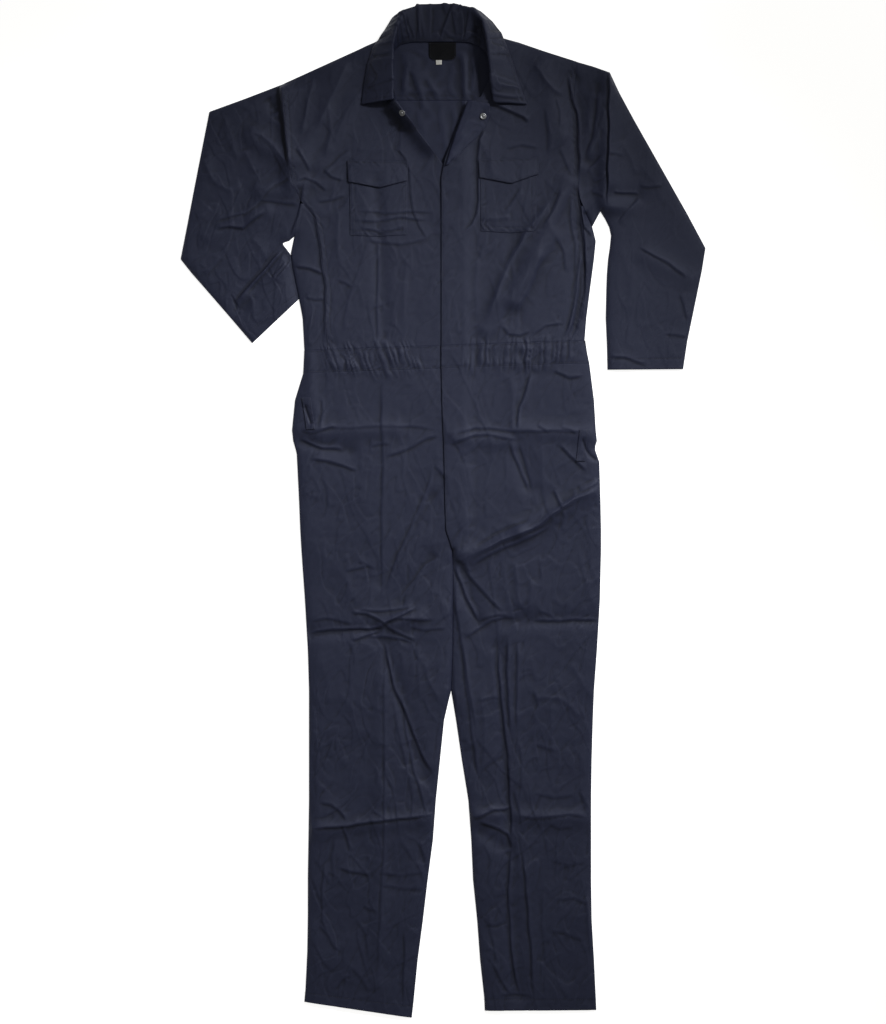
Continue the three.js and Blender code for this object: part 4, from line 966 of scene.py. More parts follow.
def sew(name, paths, lift=0.12, pitch=None):
    """Stitches along paths of points in millimetres, as one plain mesh."""
    settings = bpy.context.scene.boiler_suit
    tree = bpy.data.node_groups.get("stitch_rows") or stitch_tree()
    points = []
    edges = []
    for path in paths:
        start = len(points)
        points += [(x * MM, y * MM, (z + lift) * MM) for x, y, z in path]
        edges += [(k, k + 1) for k in range(start, len(points) - 1)]
    mesh = bpy.data.meshes.new(f"{name}_lines")
    mesh.from_pydata(points, edges, [])
    lines = bpy.data.objects.new(f"{name}_lines", mesh)
    bpy.context.scene.collection.objects.link(lines)
    modifier = lines.modifiers.new("stitches", "NODES")
    modifier.node_group = tree
    modifier[socket_of(tree, "Pitch")] = pitch or settings.stitch_pitch
    modifier[socket_of(tree, "Stitch length")] = settings.stitch_length
    modifier[socket_of(tree, "Thread")] = settings.thread
    evaluated = lines.evaluated_get(bpy.context.evaluated_depsgraph_get())
    sewn = bpy.data.meshes.new_from_object(evaluated)
    sewn.name = name
    lines.modifiers.remove(modifier)
    bpy.data.objects.remove(lines)
    bpy.data.meshes.remove(mesh)
    sewn.shade_smooth()
    piece = bpy.data.objects.new(name, sewn)
    bpy.context.scene.collection.objects.link(piece)
    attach(piece, "root")


def grain_uv(x, y, angle=0.0):
    """Places on the cloth, with its grain turned by an angle."""
    u = x * math.cos(angle) + y * math.sin(angle)
    v = y * math.cos(angle) - x * math.sin(angle)
    return np.stack([u, v], -1)


def cloth_panel(node, rows, surface, borders, step=PANEL_STEP, wall=WALL):
    """One piece of cloth from its sections, the surface it follows and the way it is finished."""
    x, y, gaps = plan(rows, step)
    z = surface(x, y) + border_shape(x, y, gaps, borders)
    outer = np.stack([x, y, z], -1)
    inner = np.stack([x, y, np.maximum(lowest(z) - wall, INSIDE_FLOOR)], -1)
    cloth = bpy.data.materials["cloth_navy"]
    piece = shell(f"cloth_{node}", outer, inner, grain_uv(x, y), cloth)
    declare(piece, node)
    return sewn_borders(outer, gaps, borders)


def socketed(group, name, kind, value=None, out=False):
    way = "OUTPUT" if out else "INPUT"
    item = group.interface.new_socket(name, in_out=way, socket_type=kind)
    if value is not None:
        item.default_value = value


def math_node(tree, operation, first, second=None):
    node = tree.nodes.new("ShaderNodeMath")
    node.operation = operation
    for slot, value in zip(node.inputs, (first, second)):
        if value is None:
            continue
        if isinstance(value, (int, float)):
            slot.default_value = value
        else:
            tree.links.new(value, slot)
    return node.outputs[0]


def noise_node(tree, vector, scale, detail=2.0, rough=0.5):
    node = tree.nodes.new("ShaderNodeTexNoise")
    node.inputs["Scale"].default_value = scale
    node.inputs["Detail"].default_value = detail
    node.inputs["Roughness"].default_value = rough
    tree.links.new(vector, node.inputs["Vector"])
    return node.outputs["Fac"]


def twill_group():
    """Slanting ribs of a cotton twill: their height and their shade, from a place in metres."""
    group = bpy.data.node_groups.new("twill_weave", "ShaderNodeTree")
    socketed(group, "Place", "NodeSocketVector")
    socketed(group, "Rib width", "NodeSocketFloat", 0.0009)
    socketed(group, "Thread width", "NodeSocketFloat", 0.00035)
    socketed(group, "Slub", "NodeSocketFloat", 0.35)
    socketed(group, "Height", "NodeSocketFloat", out=True)
    socketed(group, "Shade", "NodeSocketFloat", out=True)
    given = group.nodes.new("NodeGroupInput")
    result = group.nodes.new("NodeGroupOutput")
    split = group.nodes.new("ShaderNodeSeparateXYZ")
    group.links.new(given.outputs["Place"], split.inputs[0])
    u, v = split.outputs["X"], split.outputs["Y"]
    slant = math_node(group, "ADD", u, math_node(group, "MULTIPLY", v, 0.62))
    waver = noise_node(group, given.outputs["Place"], 260.0)
    waver = math_node(group, "MULTIPLY", math_node(group, "SUBTRACT", waver, 0.5), 0.0006)
    place = math_node(group, "ADD", slant, math_node(group, "MULTIPLY", waver, given.outputs["Slub"]))
    turns = math_node(group, "DIVIDE", place, given.outputs["Rib width"])
    rib = math_node(group, "SINE", math_node(group, "MULTIPLY", turns, 2 * math.pi))
    rib = math_node(group, "ADD", math_node(group, "MULTIPLY", rib, 0.5), 0.5)
    threads = math_node(group, "DIVIDE", v, given.outputs["Thread width"])
    thread = math_node(group, "SINE", math_node(group, "MULTIPLY", threads, 2 * math.pi))
    thread = math_node(group, "ADD", math_node(group, "MULTIPLY", thread, 0.25), 0.75)
    tall = math_node(group, "MULTIPLY", rib, thread)
    group.links.new(tall, result.inputs["Height"])
    yarn = noise_node(group, given.outputs["Place"], 900.0, 3.0, 0.6)
    shade = math_node(group, "ADD", math_node(group, "MULTIPLY", tall, 0.6),
                      math_node(group, "MULTIPLY", yarn, 0.4))
    group.links.new(shade, result.inputs["Shade"])


def wear_and_light_group():
    """Patchy faded tone of worked cloth; crests lightened, partly as rubbed cloth and partly as a
    painted highlight; painted shade in the hollows.
    """
    group = bpy.data.node_groups.new("cloth_wear_and_light", "ShaderNodeTree")
    socketed(group, "Place", "NodeSocketVector")
    socketed(group, "Crest", "NodeSocketFloat", 0.0)
    socketed(group, "Patch size", "NodeSocketFloat", 7.0)
    socketed(group, "Fading and crest light", "NodeSocketFloat", out=True)
    socketed(group, "Lint", "NodeSocketFloat", out=True)
    socketed(group, "Hollow", "NodeSocketFloat", out=True)
    given = group.nodes.new("NodeGroupInput")
    result = group.nodes.new("NodeGroupOutput")
    patches = group.nodes.new("ShaderNodeTexNoise")
    patches.inputs["Detail"].default_value = 3.0
    group.links.new(given.outputs["Place"], patches.inputs["Vector"])
    group.links.new(given.outputs["Patch size"], patches.inputs["Scale"])
    grit = noise_node(group, given.outputs["Place"], 160.0, 3.0, 0.6)
    # Crests lightened: partly rubbed cloth, partly a painted highlight
    crest = math_node(group, "MULTIPLY", given.outputs["Crest"], 0.30)
    fade = math_node(group, "ADD", math_node(group, "MULTIPLY", patches.outputs["Fac"], 0.5), crest)
    fade = math_node(group, "ADD", fade, math_node(group, "MULTIPLY", grit, 0.25))
    group.links.new(fade, result.inputs["Fading and crest light"])
    # Painted shade in the hollows of the relief
    hollow = math_node(group, "MULTIPLY", given.outputs["Crest"], -1.0)
    group.links.new(math_node(group, "MAXIMUM", hollow, 0.0), result.inputs["Hollow"])
    specks = group.nodes.new("ShaderNodeTexVoronoi")
    specks.inputs["Scale"].default_value = 190.0
    group.links.new(given.outputs["Place"], specks.inputs["Vector"])
    near = math_node(group, "LESS_THAN", specks.outputs["Distance"], 0.035)
    some = math_node(group, "GREATER_THAN", noise_node(group, given.outputs["Place"], 60.0), 0.6)
    group.links.new(math_node(group, "MULTIPLY", near, some), result.inputs["Lint"])


def placed(material, group_name, values):
    node = material.node_tree.nodes.new("ShaderNodeGroup")
    node.node_tree = bpy.data.node_groups[group_name]
    for name, value in values.items():
        node.inputs[name].default_value = value
    return node


def new_material(name, rough, specular, metal=0.0):
    material = bpy.data.materials.new(name)
    material.use_nodes = True
    shader = material.node_tree.nodes["Principled BSDF"]
    shader.inputs["Roughness"].default_value = rough
    shader.inputs["Specular IOR Level"].default_value = specular
    shader.inputs["Metallic"].default_value = metal
    return material, shader


def bumped(material, tall, distance, strength, under=None):
    bump = material.node_tree.nodes.new("ShaderNodeBump")
    bump.inputs["Distance"].default_value = distance
    bump.inputs["Strength"].default_value = strength
    material.node_tree.links.new(tall, bump.inputs["Height"])
    if under is not None:
        material.node_tree.links.new(under, bump.inputs["Normal"])
    return bump.outputs["Normal"]


def mixed_colour(tree, share, first, second):
    node = tree.nodes.new("ShaderNodeMix")
    node.data_type = "RGBA"
    if isinstance(share, (int, float)):
        node.inputs[0].default_value = share
    else:
        tree.links.new(share, node.inputs[0])
    for slot, value in ((6, first), (7, second)):
        if isinstance(value, bpy.types.NodeSocket):
            tree.links.new(value, node.inputs[slot])
        else:
            node.inputs[slot].default_value = (*value, 1.0)
    return node.outputs[2]


def twill_material(name, colour, faded, rib=0.0009, depth=0.00012):
    """Dyed cotton twill with faded patches, crests lightened partly by rubbing and partly as a
    painted highlight, and painted shade in its hollows.
    """
    material, shader = new_material(name, 0.62, 0.4)
    tree = material.node_tree
    grain = tree.nodes.new("ShaderNodeUVMap")
    grain.uv_map = "Grain"
    crest = tree.nodes.new("ShaderNodeAttribute")
    crest.attribute_name = "crest"
    weave = placed(material, "twill_weave", {"Rib width": rib})
    wear_and_light = placed(material, "cloth_wear_and_light", {})
    for node in (weave, wear_and_light):
        tree.links.new(grain.outputs["UV"], node.inputs["Place"])
    tree.links.new(crest.outputs["Fac"], wear_and_light.inputs["Crest"])
    # Faded patches, and a painted highlight on the crests
    base = mixed_colour(tree, wear_and_light.outputs["Fading and crest light"], colour, faded)
    dark = tuple(0.72 * c for c in colour)
    base = mixed_colour(tree, math_node(tree, "MULTIPLY", weave.outputs["Shade"], 0.55), dark, base)
    # Painted shade: the hollows of the creases darkened towards 0.3 of the dye
    painted_crease_shade = tuple(0.3 * c for c in colour)
    base = mixed_colour(tree, math_node(tree, "MULTIPLY", wear_and_light.outputs["Hollow"], 0.7), base, painted_crease_shade)
    lint = tuple(min(1.0, 3.0 * c + 0.02) for c in colour)
    base = mixed_colour(tree, math_node(tree, "MULTIPLY", wear_and_light.outputs["Lint"], 0.5), base, lint)
    tree.links.new(base, shader.inputs["Base Color"])
    rough = math_node(tree, "ADD", math_node(tree, "MULTIPLY", wear_and_light.outputs["Fading and crest light"], -0.12), 0.66)
    tree.links.new(rough, shader.inputs["Roughness"])
    nap = noise_node(tree, grain.outputs["UV"], 420.0, 3.0, 0.6)
    normal = bumped(material, nap, 0.0001, 0.5)
    normal = bumped(material, weave.outputs["Height"], depth, 0.7, normal)
    tree.links.new(normal, shader.inputs["Normal"])
    shader.inputs["Sheen Weight"].default_value = 0.04
    shader.inputs["Sheen Roughness"].default_value = 0.45
    shader.inputs["Specular Tint"].default_value = (0.78, 0.83, 1.0, 1.0)
    shader.inputs["Sheen Tint"].default_value = (0.62, 0.68, 0.95, 1.0)


def thread_material(name, colour):
    """Sewing thread: fine twisted plies along each stitch."""
    material, shader = new_material(name, 0.6, 0.35)
    tree = material.node_tree
    where = tree.nodes.new("ShaderNodeTexCoord")
    plies = noise_node(tree, where.outputs["Object"], 2600.0, 2.0)
    base = mixed_colour(tree, plies, tuple(0.75 * c for c in colour), tuple(1.3 * c for c in colour))
    tree.links.new(base, shader.inputs["Base Color"])
    tree.links.new(bumped(material, plies, 0.0001, 0.5), shader.inputs["Normal"])


def satin_material(name, colour, light):
    """Woven satin: fine floats along the grain with a soft gloss."""
    material, shader = new_material(name, 0.55, 0.12)
    tree = material.node_tree
    grain = tree.nodes.new("ShaderNodeUVMap")
    grain.uv_map = "Grain"
    fine = {"Rib width": 0.0003, "Thread width": 0.00018, "Slub": 0.1}
    weave = placed(material, "twill_weave", fine)
    tree.links.new(grain.outputs["UV"], weave.inputs["Place"])
    base = mixed_colour(tree, weave.outputs["Shade"], colour, light)
    tree.links.new(base, shader.inputs["Base Color"])
    tree.links.new(bumped(material, weave.outputs["Height"], 0.00005, 0.6), shader.inputs["Normal"])


def stud_material(name, colour):
    """Nickel-plated brass with a fine brushed tarnish."""
    material, shader = new_material(name, 0.42, 0.5, 1.0)
    tree = material.node_tree
    where = tree.nodes.new("ShaderNodeTexCoord")
    tarnish = noise_node(tree, where.outputs["Object"], 700.0, 4.0, 0.6)
    base = mixed_colour(tree, tarnish, tuple(0.6 * c for c in colour), colour)
    tree.links.new(base, shader.inputs["Base Color"])
    rough = math_node(tree, "ADD", math_node(tree, "MULTIPLY", tarnish, 0.3), 0.28)
    tree.links.new(rough, shader.inputs["Roughness"])
    tree.links.new(bumped(material, tarnish, 0.00005, 0.4), shader.inputs["Normal"])


def floor_material(name, colour):
    """A pale seamless sweep with a hardly visible tooth, lit a little from behind."""
    material, shader = new_material(name, 0.85, 0.2)
    tree = material.node_tree
    where = tree.nodes.new("ShaderNodeTexCoord")
    tooth = noise_node(tree, where.outputs["Object"], 90.0, 3.0)
    base = mixed_colour(tree, tooth, tuple(0.985 * c for c in colour), colour)
    tree.links.new(base, shader.inputs["Base Color"])
    shader.inputs["Emission Color"].default_value = (1.0, 1.0, 1.0, 1.0)
    shader.inputs["Emission Strength"].default_value = 0.8


class BoilerSuitSettings(bpy.types.PropertyGroup):
    """Sizes and colours of the suit's cloth and sewing."""

    crease_depth: FloatProperty(
        name="Crease depth", description="Share of the hand-placed creases' height",
        default=1.42, min=0.0, max=2.0, subtype="FACTOR",
    )
    wrinkle_depth: FloatProperty(
        name="Wrinkle depth", description="Share of the small crumples' height",
        default=1.0, min=0.0, max=3.0, subtype="FACTOR",
    )
    stitch_pitch: FloatProperty(
        name="Stitch pitch", description="Distance from one stitch to the next",
        default=0.0034, min=0.001, max=0.01, unit="LENGTH", precision=4,
    )
    stitch_length: FloatProperty(
        name="Stitch length", description="Length of the thread that shows in one stitch",
        default=0.0027, min=0.001, max=0.01, unit="LENGTH", precision=4,
    )
    thread: FloatProperty(
        name="Thread", description="Thickness of the sewing thread",
        default=0.0006, min=0.0001, max=0.002, unit="LENGTH", precision=4,
    )
    navy: FloatVectorProperty(
        name="Navy", description="Colour of the dyed cloth",
        default=(0.0112, 0.0140, 0.0374), size=3, min=0.0, max=1.0, subtype="COLOR",
    )
    # Mixed in over faded patches and, as a painted highlight, over the crests of the folds
    faded_navy_and_crest_light: FloatVectorProperty(
        name="Faded navy", description="Colour of the cloth where it is faded",
        default=(0.0200, 0.0241, 0.0590), size=3, min=0.0, max=1.0, subtype="COLOR",
    )
    thread_navy: FloatVectorProperty(
        name="Thread navy", description="Colour of the sewing thread",
        default=(0.017, 0.019, 0.034), size=3, min=0.0, max=1.0, subtype="COLOR",
    )
    label_black: FloatVectorProperty(
        name="Label black", description="Colour of the neck label",
        default=(0.0024, 0.0027, 0.0042), size=3, min=0.0, max=1.0, subtype="COLOR",
    )
    tab_white: FloatVectorProperty(
        name="Tab white", description="Colour of the size tab",
        default=(0.75, 0.75, 0.73), size=3, min=0.0, max=1.0, subtype="COLOR",
    )
    stud_metal: FloatVectorProperty(
        name="Stud metal", description="Colour of the press studs",
        default=(0.36, 0.37, 0.39), size=3, min=0.0, max=1.0, subtype="COLOR",
    )
    floor_white: FloatVectorProperty(
        name="Floor white", description="Colour of the floor",
        default=(0.93, 0.93, 0.93), size=3, min=0.0, max=1.0, subtype="COLOR",
    )


class SUIT_OT_materials(bpy.types.Operator):
    """Makes the shared node groups and the suit's materials"""

    bl_idname = "boiler_suit.materials"
    bl_label = "Materials"

    def execute(self, context):
        settings = context.scene.boiler_suit
        twill_group()
        wear_and_light_group()
        twill_material("cloth_navy", tuple(settings.navy), tuple(settings.faded_navy_and_crest_light))
        # The inside copy is 1.18 times lighter: partly the paler reverse face of the twill, partly
        # painted light that lifts the yoke where the lamp falls off
        inside = [tuple(1.18 * c for c in dye) for dye in (settings.navy, settings.faded_navy_and_crest_light)]
        twill_material("cloth_navy_inside", *inside, rib=0.0011, depth=0.0001)
        thread_material("thread_navy", tuple(settings.thread_navy))
        black = tuple(settings.label_black)
        satin_material("satin_black", black, tuple(1.5 * c for c in black))
        white = tuple(settings.tab_white)
        satin_material("satin_white", tuple(0.8 * c for c in white), white)
        stud_material("plated_metal", tuple(settings.stud_metal))
        floor_material("floor_white", tuple(settings.floor_white))
        return {"FINISHED"}


def back_cloth(node, rows, borders, top=None, step=BACK_STEP, material="cloth_navy"):
    """A piece of the lower layer, flat below, with shallow creases pressed up into it."""
    x, y, gaps = plan(rows, step)
    pressed = 0.5 * np.clip(ridged(x, y, 70.0, 51) - 0.4, 0.0, 1.0)
    pressed += 0.35 * np.clip(ridged(x + 0.4 * y, y, 33.0, 52) - 0.5, 0.0, 1.0)
    low = np.minimum(pressed, 0.45)
    for name in borders:
        low = low * smooth(gaps[name] / 12.0)
        low += 0.25 * np.exp(-(gaps[name] / 1.2) ** 2)
    high = np.maximum(low + 0.7, CLOTH - 0.02)
    if top is not None:
        high = top(x, y) + border_shape(x, y, gaps, borders)
    lower = np.stack([x, y, low], -1)
    upper = np.stack([x, y, high], -1)
    uv = grain_uv(x, y)
    piece = shell(f"cloth_{node}", upper, lower, uv, bpy.data.materials[material])
    declare(piece, node)
    paths = []
    for name, kind in borders.items():
        for row in BORDERS[kind]["rows"]:
            paths.append(inset(lower, gaps, name, row))
    return paths, upper, gaps


def yoke_top(x, y):
    """Height of the back's upper side, folded where it shows inside the neck."""
    total = np.zeros(x.shape)
    for x1, y1, x2, y2, tall, width in NECK_FOLDS:
        across, past, _ = from_line(x, y, x1, y1, x2, y2)
        away = np.hypot(across, past)
        total += tall * np.exp(-((away / width) ** 2))
    window = smooth((790 - y) / 15) * smooth((70 - np.abs(x + 6)) / 12)
    window = window * smooth((y - 600) / 10)
    total += creases(x, y, NECK_CREASES) + 0.5 * ridged(x, y, 30.0, 61)
    return CLOTH + window * np.maximum(0.0, total)


def body_rows():
    """Sections of the back body, from the yoke seam down to the waist."""
    sides = []
    for corner, armhole, wrap in ((-271, ARMHOLE_RIGHT, WRAP_RIGHT), (222, ARMHOLE_LEFT, WRAP_LEFT)):
        below_seam = [p for p in armhole if p[1] < YOKE_SEAM_Y]
        sides.append([(corner, YOKE_SEAM_Y), *below_seam, *ends(wrap[3:], 2, 3)])
    count = 40
    rows = []
    for k in range(count + 1):
        pair = []
        for side in sides:
            ys = [p[1] for p in side]
            y = mix(float(YOKE_SEAM_Y), ys[-1], k / count)
            pair += [float(np.interp(-y, [-v for v in ys], [p[0] for p in side])), y]
        rows.append(tuple(pair))
    return rows


def back_leg_rows(rows):
    """Sections of a leg's back, which meets the other one along the seam down the seat."""
    seat_y = [-p[1] for p in SEAT_SEAM]
    seat_x = [p[0] for p in SEAT_SEAM]
    found = []
    for side_x, side_y, inner_x, inner_y in rows:
        if inner_y > CROTCH_Y:
            inner_x = float(np.interp(-inner_y, seat_y, seat_x))
        found.append((side_x, side_y, inner_x, inner_y))
    return found


class SUIT_OT_back(bpy.types.Operator):
    """Makes the yoke, back body, waistband and legs of the lower layer"""

    bl_idname = "boiler_suit.back"
    bl_label = "Back"

    def execute(self, context):
        borders = {"first": "plain", "second": "felled"}
        sewn, top, gaps = back_cloth("back_yoke", YOKE, borders, yoke_top, YOKE_STEP,
                                     "cloth_navy_inside")
        shown = []
        for distance in YOKE_STITCHES:
            seam = inset(top, gaps, "second", distance)
            in_neck = (seam[:, 0] > NECK_INSIDE[0]) & (seam[:, 0] < NECK_INSIDE[1])
            shown.append(seam[in_neck])
        borders = {"start": "plain", "first": "felled", "second": "felled"}
        sewn += back_cloth("back_body", body_rows(), borders, yoke_top, BODY_STEP,
                           "cloth_navy_inside")[0]
        band = [(-236, waist_top(-236), 241, waist_top(241)),
                (-238, waist_bottom(-238), 249, waist_bottom(249))]
        sewn += back_cloth("back_waistband", band, {"start": "seam", "stop": "seam"})[0]
        for side, rows in (("right", LEG_RIGHT), ("left", LEG_LEFT)):
            borders = {"first": "plain", "second": "felled", "start": "plain", "stop": "hem"}
            sewn += back_cloth(f"back_leg_{side}", back_leg_rows(rows), borders)[0]
        sew("stitches_back", sewn, lift=0.3, pitch=0.005)
        sew("stitches_yoke_inside", shown)
        return {"FINISHED"}


class SUIT_OT_fronts(bpy.types.Operator):
    """Makes the two fronts and the strips of the back that come round the sides"""

    bl_idname = "boiler_suit.fronts"
    bl_label = "Fronts"

    def execute(self, context):
        borders = {"first": "felled", "second": "edge", "start": "plain", "stop": "joined"}
        right = cloth_panel("front_right", FRONT_RIGHT, outside_right, borders)
        left = cloth_panel("front_left", FRONT_LEFT, outside_left, borders)
        right.append(on_surface(TACKED_RIGHT, outside_right))
        left.append(on_surface(TACKED_LEFT, outside_left))
        for side, rows, fold in (("right", WRAP_RIGHT, "plain"), ("left", WRAP_LEFT, "fold")):
            wrap = {"first": "joined", "second": fold, "start": "plain", "stop": "joined"}
            cloth_panel(f"back_wrap_{side}", rows, outside_right, wrap)
        sew("stitches_front_right", right)
        sew("stitches_front_left", left)
        return {"FINISHED"}


class SUIT_OT_waistband(bpy.types.Operator):
    """Makes the gathered elastic waistband's two front halves"""

    bl_idname = "boiler_suit.waistband"
    bl_label = "Waistband"

    def execute(self, context):
        borders = {"start": "seam", "stop": "seam"}
        right = [(-236, waist_top(-236), UNDERLAP_X, waist_top(UNDERLAP_X)),
                 (-238, waist_bottom(-238), UNDERLAP_X, waist_bottom(UNDERLAP_X))]
        left = [(FRONT_EDGE_X, waist_top(FRONT_EDGE_X), 242, waist_top(242)),
                (FRONT_EDGE_X, waist_bottom(FRONT_EDGE_X), 248, waist_bottom(248))]
        sewn = cloth_panel("front_waistband_right", right, outside_right, borders, step=2.2)
        sewn += cloth_panel("front_waistband_left", left, outside_left, borders, step=2.2)
        sew("stitches_waistband", sewn)
        return {"FINISHED"}


class SUIT_OT_legs(bpy.types.Operator):
    """Makes the fronts of the two legs"""

    bl_idname = "boiler_suit.legs"
    bl_label = "Legs"

    def execute(self, context):
        borders = {"first": "plain", "second": "edge", "start": "joined", "stop": "hem"}
        for side, rows, surface in (("right", LEG_RIGHT, outside_right),
                                    ("left", LEG_LEFT, outside_left)):
            sewn = cloth_panel(f"front_leg_{side}", rows, surface, borders)
            sew(f"stitches_leg_{side}", sewn)
        return {"FINISHED"}


def sleeve_plan(rows, armhole, sideways):
    """Plan points of a sleeve's outside and inside, and how far they lie from its borders."""
    table = np.array(rows, float)
    hole = np.array(armhole, float)
    sides = [np.hypot(*np.diff(table[:, k:k + 2], axis=0).T) for k in (0, 2)]
    run = np.concatenate([[0.0], np.cumsum(np.maximum(*sides))])
    place = spread(run[-1], int(run[-1] / PANEL_STEP)) * run[-1]
    station = np.interp(place, run, np.arange(len(run)))
    ring_ends = np.stack([np.interp(station, np.arange(len(run)), table[:, k]) for k in range(4)], -1)
    widths = np.hypot(ring_ends[:, 2] - ring_ends[:, 0], ring_ends[:, 3] - ring_ends[:, 1])
    count = int(widths.max() / PANEL_STEP)
    shares = np.stack([spread(width, count) for width in widths])
    steps = len(hole) - 1
    bend = 1.0 - smooth(station / 2.0)[:, None]

    def laid_out(part):
        points = []
        for k in (0, 1):
            straight = mix(table[0, k], table[0, k + 2], part)
            curved = np.interp(part * steps, np.arange(steps + 1), hole[:, k])
            line = mix(ring_ends[:, k, None], ring_ends[:, k + 2, None], part)
            points.append(line + bend * (curved - straight))
        return points[0] - sideways * SEAM, points[1]

    wall = THIN_WALL / widths[:, None]
    drawn_in = mix(wall, 1.0 - wall, shares)
    return laid_out(shares), laid_out(drawn_in), border_gaps(shares, widths, place)


def tube(upper, lower):
    """Rings of points round a flattened tube, from the points of its two sides."""
    return np.concatenate([upper, lower[:, -2:0:-1]], 1)


def sleeve(side, rows, armhole, sideways, grain):
    """A flattened tube from the armhole to the open cuff."""
    (x, y), (x_in, y_in), gaps = sleeve_plan(rows, armhole, sideways)
    fold_gap = np.minimum(gaps["first"], gaps["second"])
    rounded = np.sqrt(1.0 - (1.0 - np.clip(fold_gap / 1.5, 0.0, 1.0)) ** 2)
    over = height(x, y) + CLOTH + border_shape(x, y, gaps, {"stop": "hem", "start": "plain"})
    beside_cuff, _ = from_path(x, y, PRESSED_CUFF)
    over = np.maximum(over - 2.2 * np.exp(-((beside_cuff / 12.0) ** 2)), 1.9)
    low = 0.4 * np.clip(ridged(x, y, 60.0, 53) - 0.4, 0.0, 1.0) * smooth(fold_gap / 12.0)
    roof = np.maximum(lowest(over) - THIN_WALL, SLEEVE_MIDDLE + 0.05)
    ground = np.minimum(-lowest(-low) + THIN_WALL, SLEEVE_MIDDLE - 0.05)

    def closed_up(across, along, z):
        return np.stack([across, along, SLEEVE_MIDDLE + rounded * (z - SLEEVE_MIDDLE)], -1)

    top = closed_up(x, y, over)
    outer = tube(top, closed_up(x, y, low))
    inner = tube(closed_up(x_in, y_in, roof), closed_up(x_in, y_in, ground))
    upper_uv = grain_uv(x, y, grain)
    hidden = (top.shape[1] + 3, outer.shape[1] - 4)
    piece = shell(f"cloth_sleeve_{side}", outer, inner, tube(upper_uv, upper_uv),
                  bpy.data.materials["cloth_navy"], True, hidden)
    declare(piece, f"sleeve_{side}")
    hem = inset(top, gaps, "stop", HEM)
    sew(f"stitches_sleeve_{side}", [hem, inset(top, gaps, "second", 5.0)[:-4]])


class SUIT_OT_sleeves(bpy.types.Operator):
    """Makes the two sleeves"""

    bl_idname = "boiler_suit.sleeves"
    bl_label = "Sleeves"

    def execute(self, context):
        sleeve("right", SLEEVE_RIGHT, ARMHOLE_RIGHT, -1, -0.55)
        sleeve("left", SLEEVE_LEFT, ARMHOLE_LEFT, 1, 0.45)
        return {"FINISHED"}


def rounded_section(points, count):
    """Evenly spaced points of smooth curves through the control points of every section."""
    first = 2 * points[:, :1] - points[:, 1:2]
    last = 2 * points[:, -1:] - points[:, -2:-1]
    chain = np.concatenate([first, points, last], 1)
    found = []
    for k in range(chain.shape[1] - 3):
        p = [chain[:, k + m] for m in range(4)]
        knots = [np.zeros(len(chain))]
        for a, b in zip(p[:-1], p[1:]):
            knots.append(knots[-1] + np.sqrt(np.maximum(1e-6, np.linalg.norm(b - a, axis=-1))))
        t0, t1, t2, t3 = (knot[:, None, None] for knot in knots)
        t = mix(t1, t2, np.linspace(0.0, 1.0, 24)[None, :, None])
        p = [q[:, None] for q in p]
        a1 = (t1 - t) / (t1 - t0) * p[0] + (t - t0) / (t1 - t0) * p[1]
        a2 = (t2 - t) / (t2 - t1) * p[1] + (t - t1) / (t2 - t1) * p[2]
        a3 = (t3 - t) / (t3 - t2) * p[2] + (t - t2) / (t3 - t2) * p[3]
        b1 = (t2 - t) / (t2 - t0) * a1 + (t - t0) / (t2 - t0) * a2
        b2 = (t3 - t) / (t3 - t1) * a2 + (t - t1) / (t3 - t1) * a3
        found.append((t2 - t) / (t2 - t1) * b1 + (t - t1) / (t2 - t1) * b2)
    line = np.concatenate(found, 1)
    run = np.cumsum(np.linalg.norm(np.diff(line, axis=1), axis=-1), axis=1)
    run = np.concatenate([np.zeros((len(run), 1)), run], 1)
    result = np.empty((len(line), count, 3))
    for k, (length, section) in enumerate(zip(run, line)):
        at = spread(length[-1], count) * length[-1]
        for axis in range(3):
            result[k, :, axis] = np.interp(at, length, section[:, axis])
    return result


def collar_grid():
    """The middle of the collar's cloth, from its seam over the roll to its edge."""
    table = np.array(COLLAR, float)
    station = np.linspace(0, len(table) - 1, COLLAR_STATIONS)
    read = [np.interp(station, np.arange(len(table)), table[:, k]) for k in range(7)]
    seam_x, seam_y, roll_x, roll_y, roll, edge_x, edge_y = read
    lift = COLLAR_CLOTH / 2 + 4 * SEAM
    seam_base = mix(height(seam_x, seam_y), 0.0, smooth((seam_y - 784) / 10))
    edge_base = mix(height(edge_x, edge_y) + CLOTH, 0.0, smooth((edge_y - 808) / 12))
    ease = 2.6 * smooth((740 - seam_y) / 20)
    seam = np.stack([seam_x, seam_y, seam_base + CLOTH + lift + ease], -1)
    edge = np.stack([edge_x, edge_y, edge_base + lift], -1)
    top = np.stack([roll_x, roll_y, roll], -1)
    hollow = np.exp(-(((station - 10.6) / 1.5) ** 2))
    stand = mix(seam, top, 0.55 + 0.22 * hollow[:, None])
    stand[:, 2] += (0.12 - 0.62 * hollow) * (roll - seam[:, 2])
    fall = mix(top, edge, 0.5)
    fall[:, 2] += 0.1 * (roll - edge[:, 2])
    return rounded_section(np.stack([seam, stand, top, fall, edge], 1), COLLAR_COLUMNS)


def collar_gaps(grid):
    """How far each point of the collar lies from its seam, its edge and its two ends."""
    across = np.cumsum(np.linalg.norm(np.diff(grid, axis=1), axis=-1), axis=1)
    across = np.concatenate([np.zeros((COLLAR_STATIONS, 1)), across], 1)
    near_roll = grid[:, 20]
    step = np.linalg.norm(np.diff(near_roll, axis=0), axis=-1)
    along = np.concatenate([[0.0], np.cumsum(step)])[:, None] * np.ones(COLLAR_COLUMNS)
    return {
        "first": across,
        "second": across[:, -1:] - across,
        "start": along,
        "stop": along[-1] - along,
    }


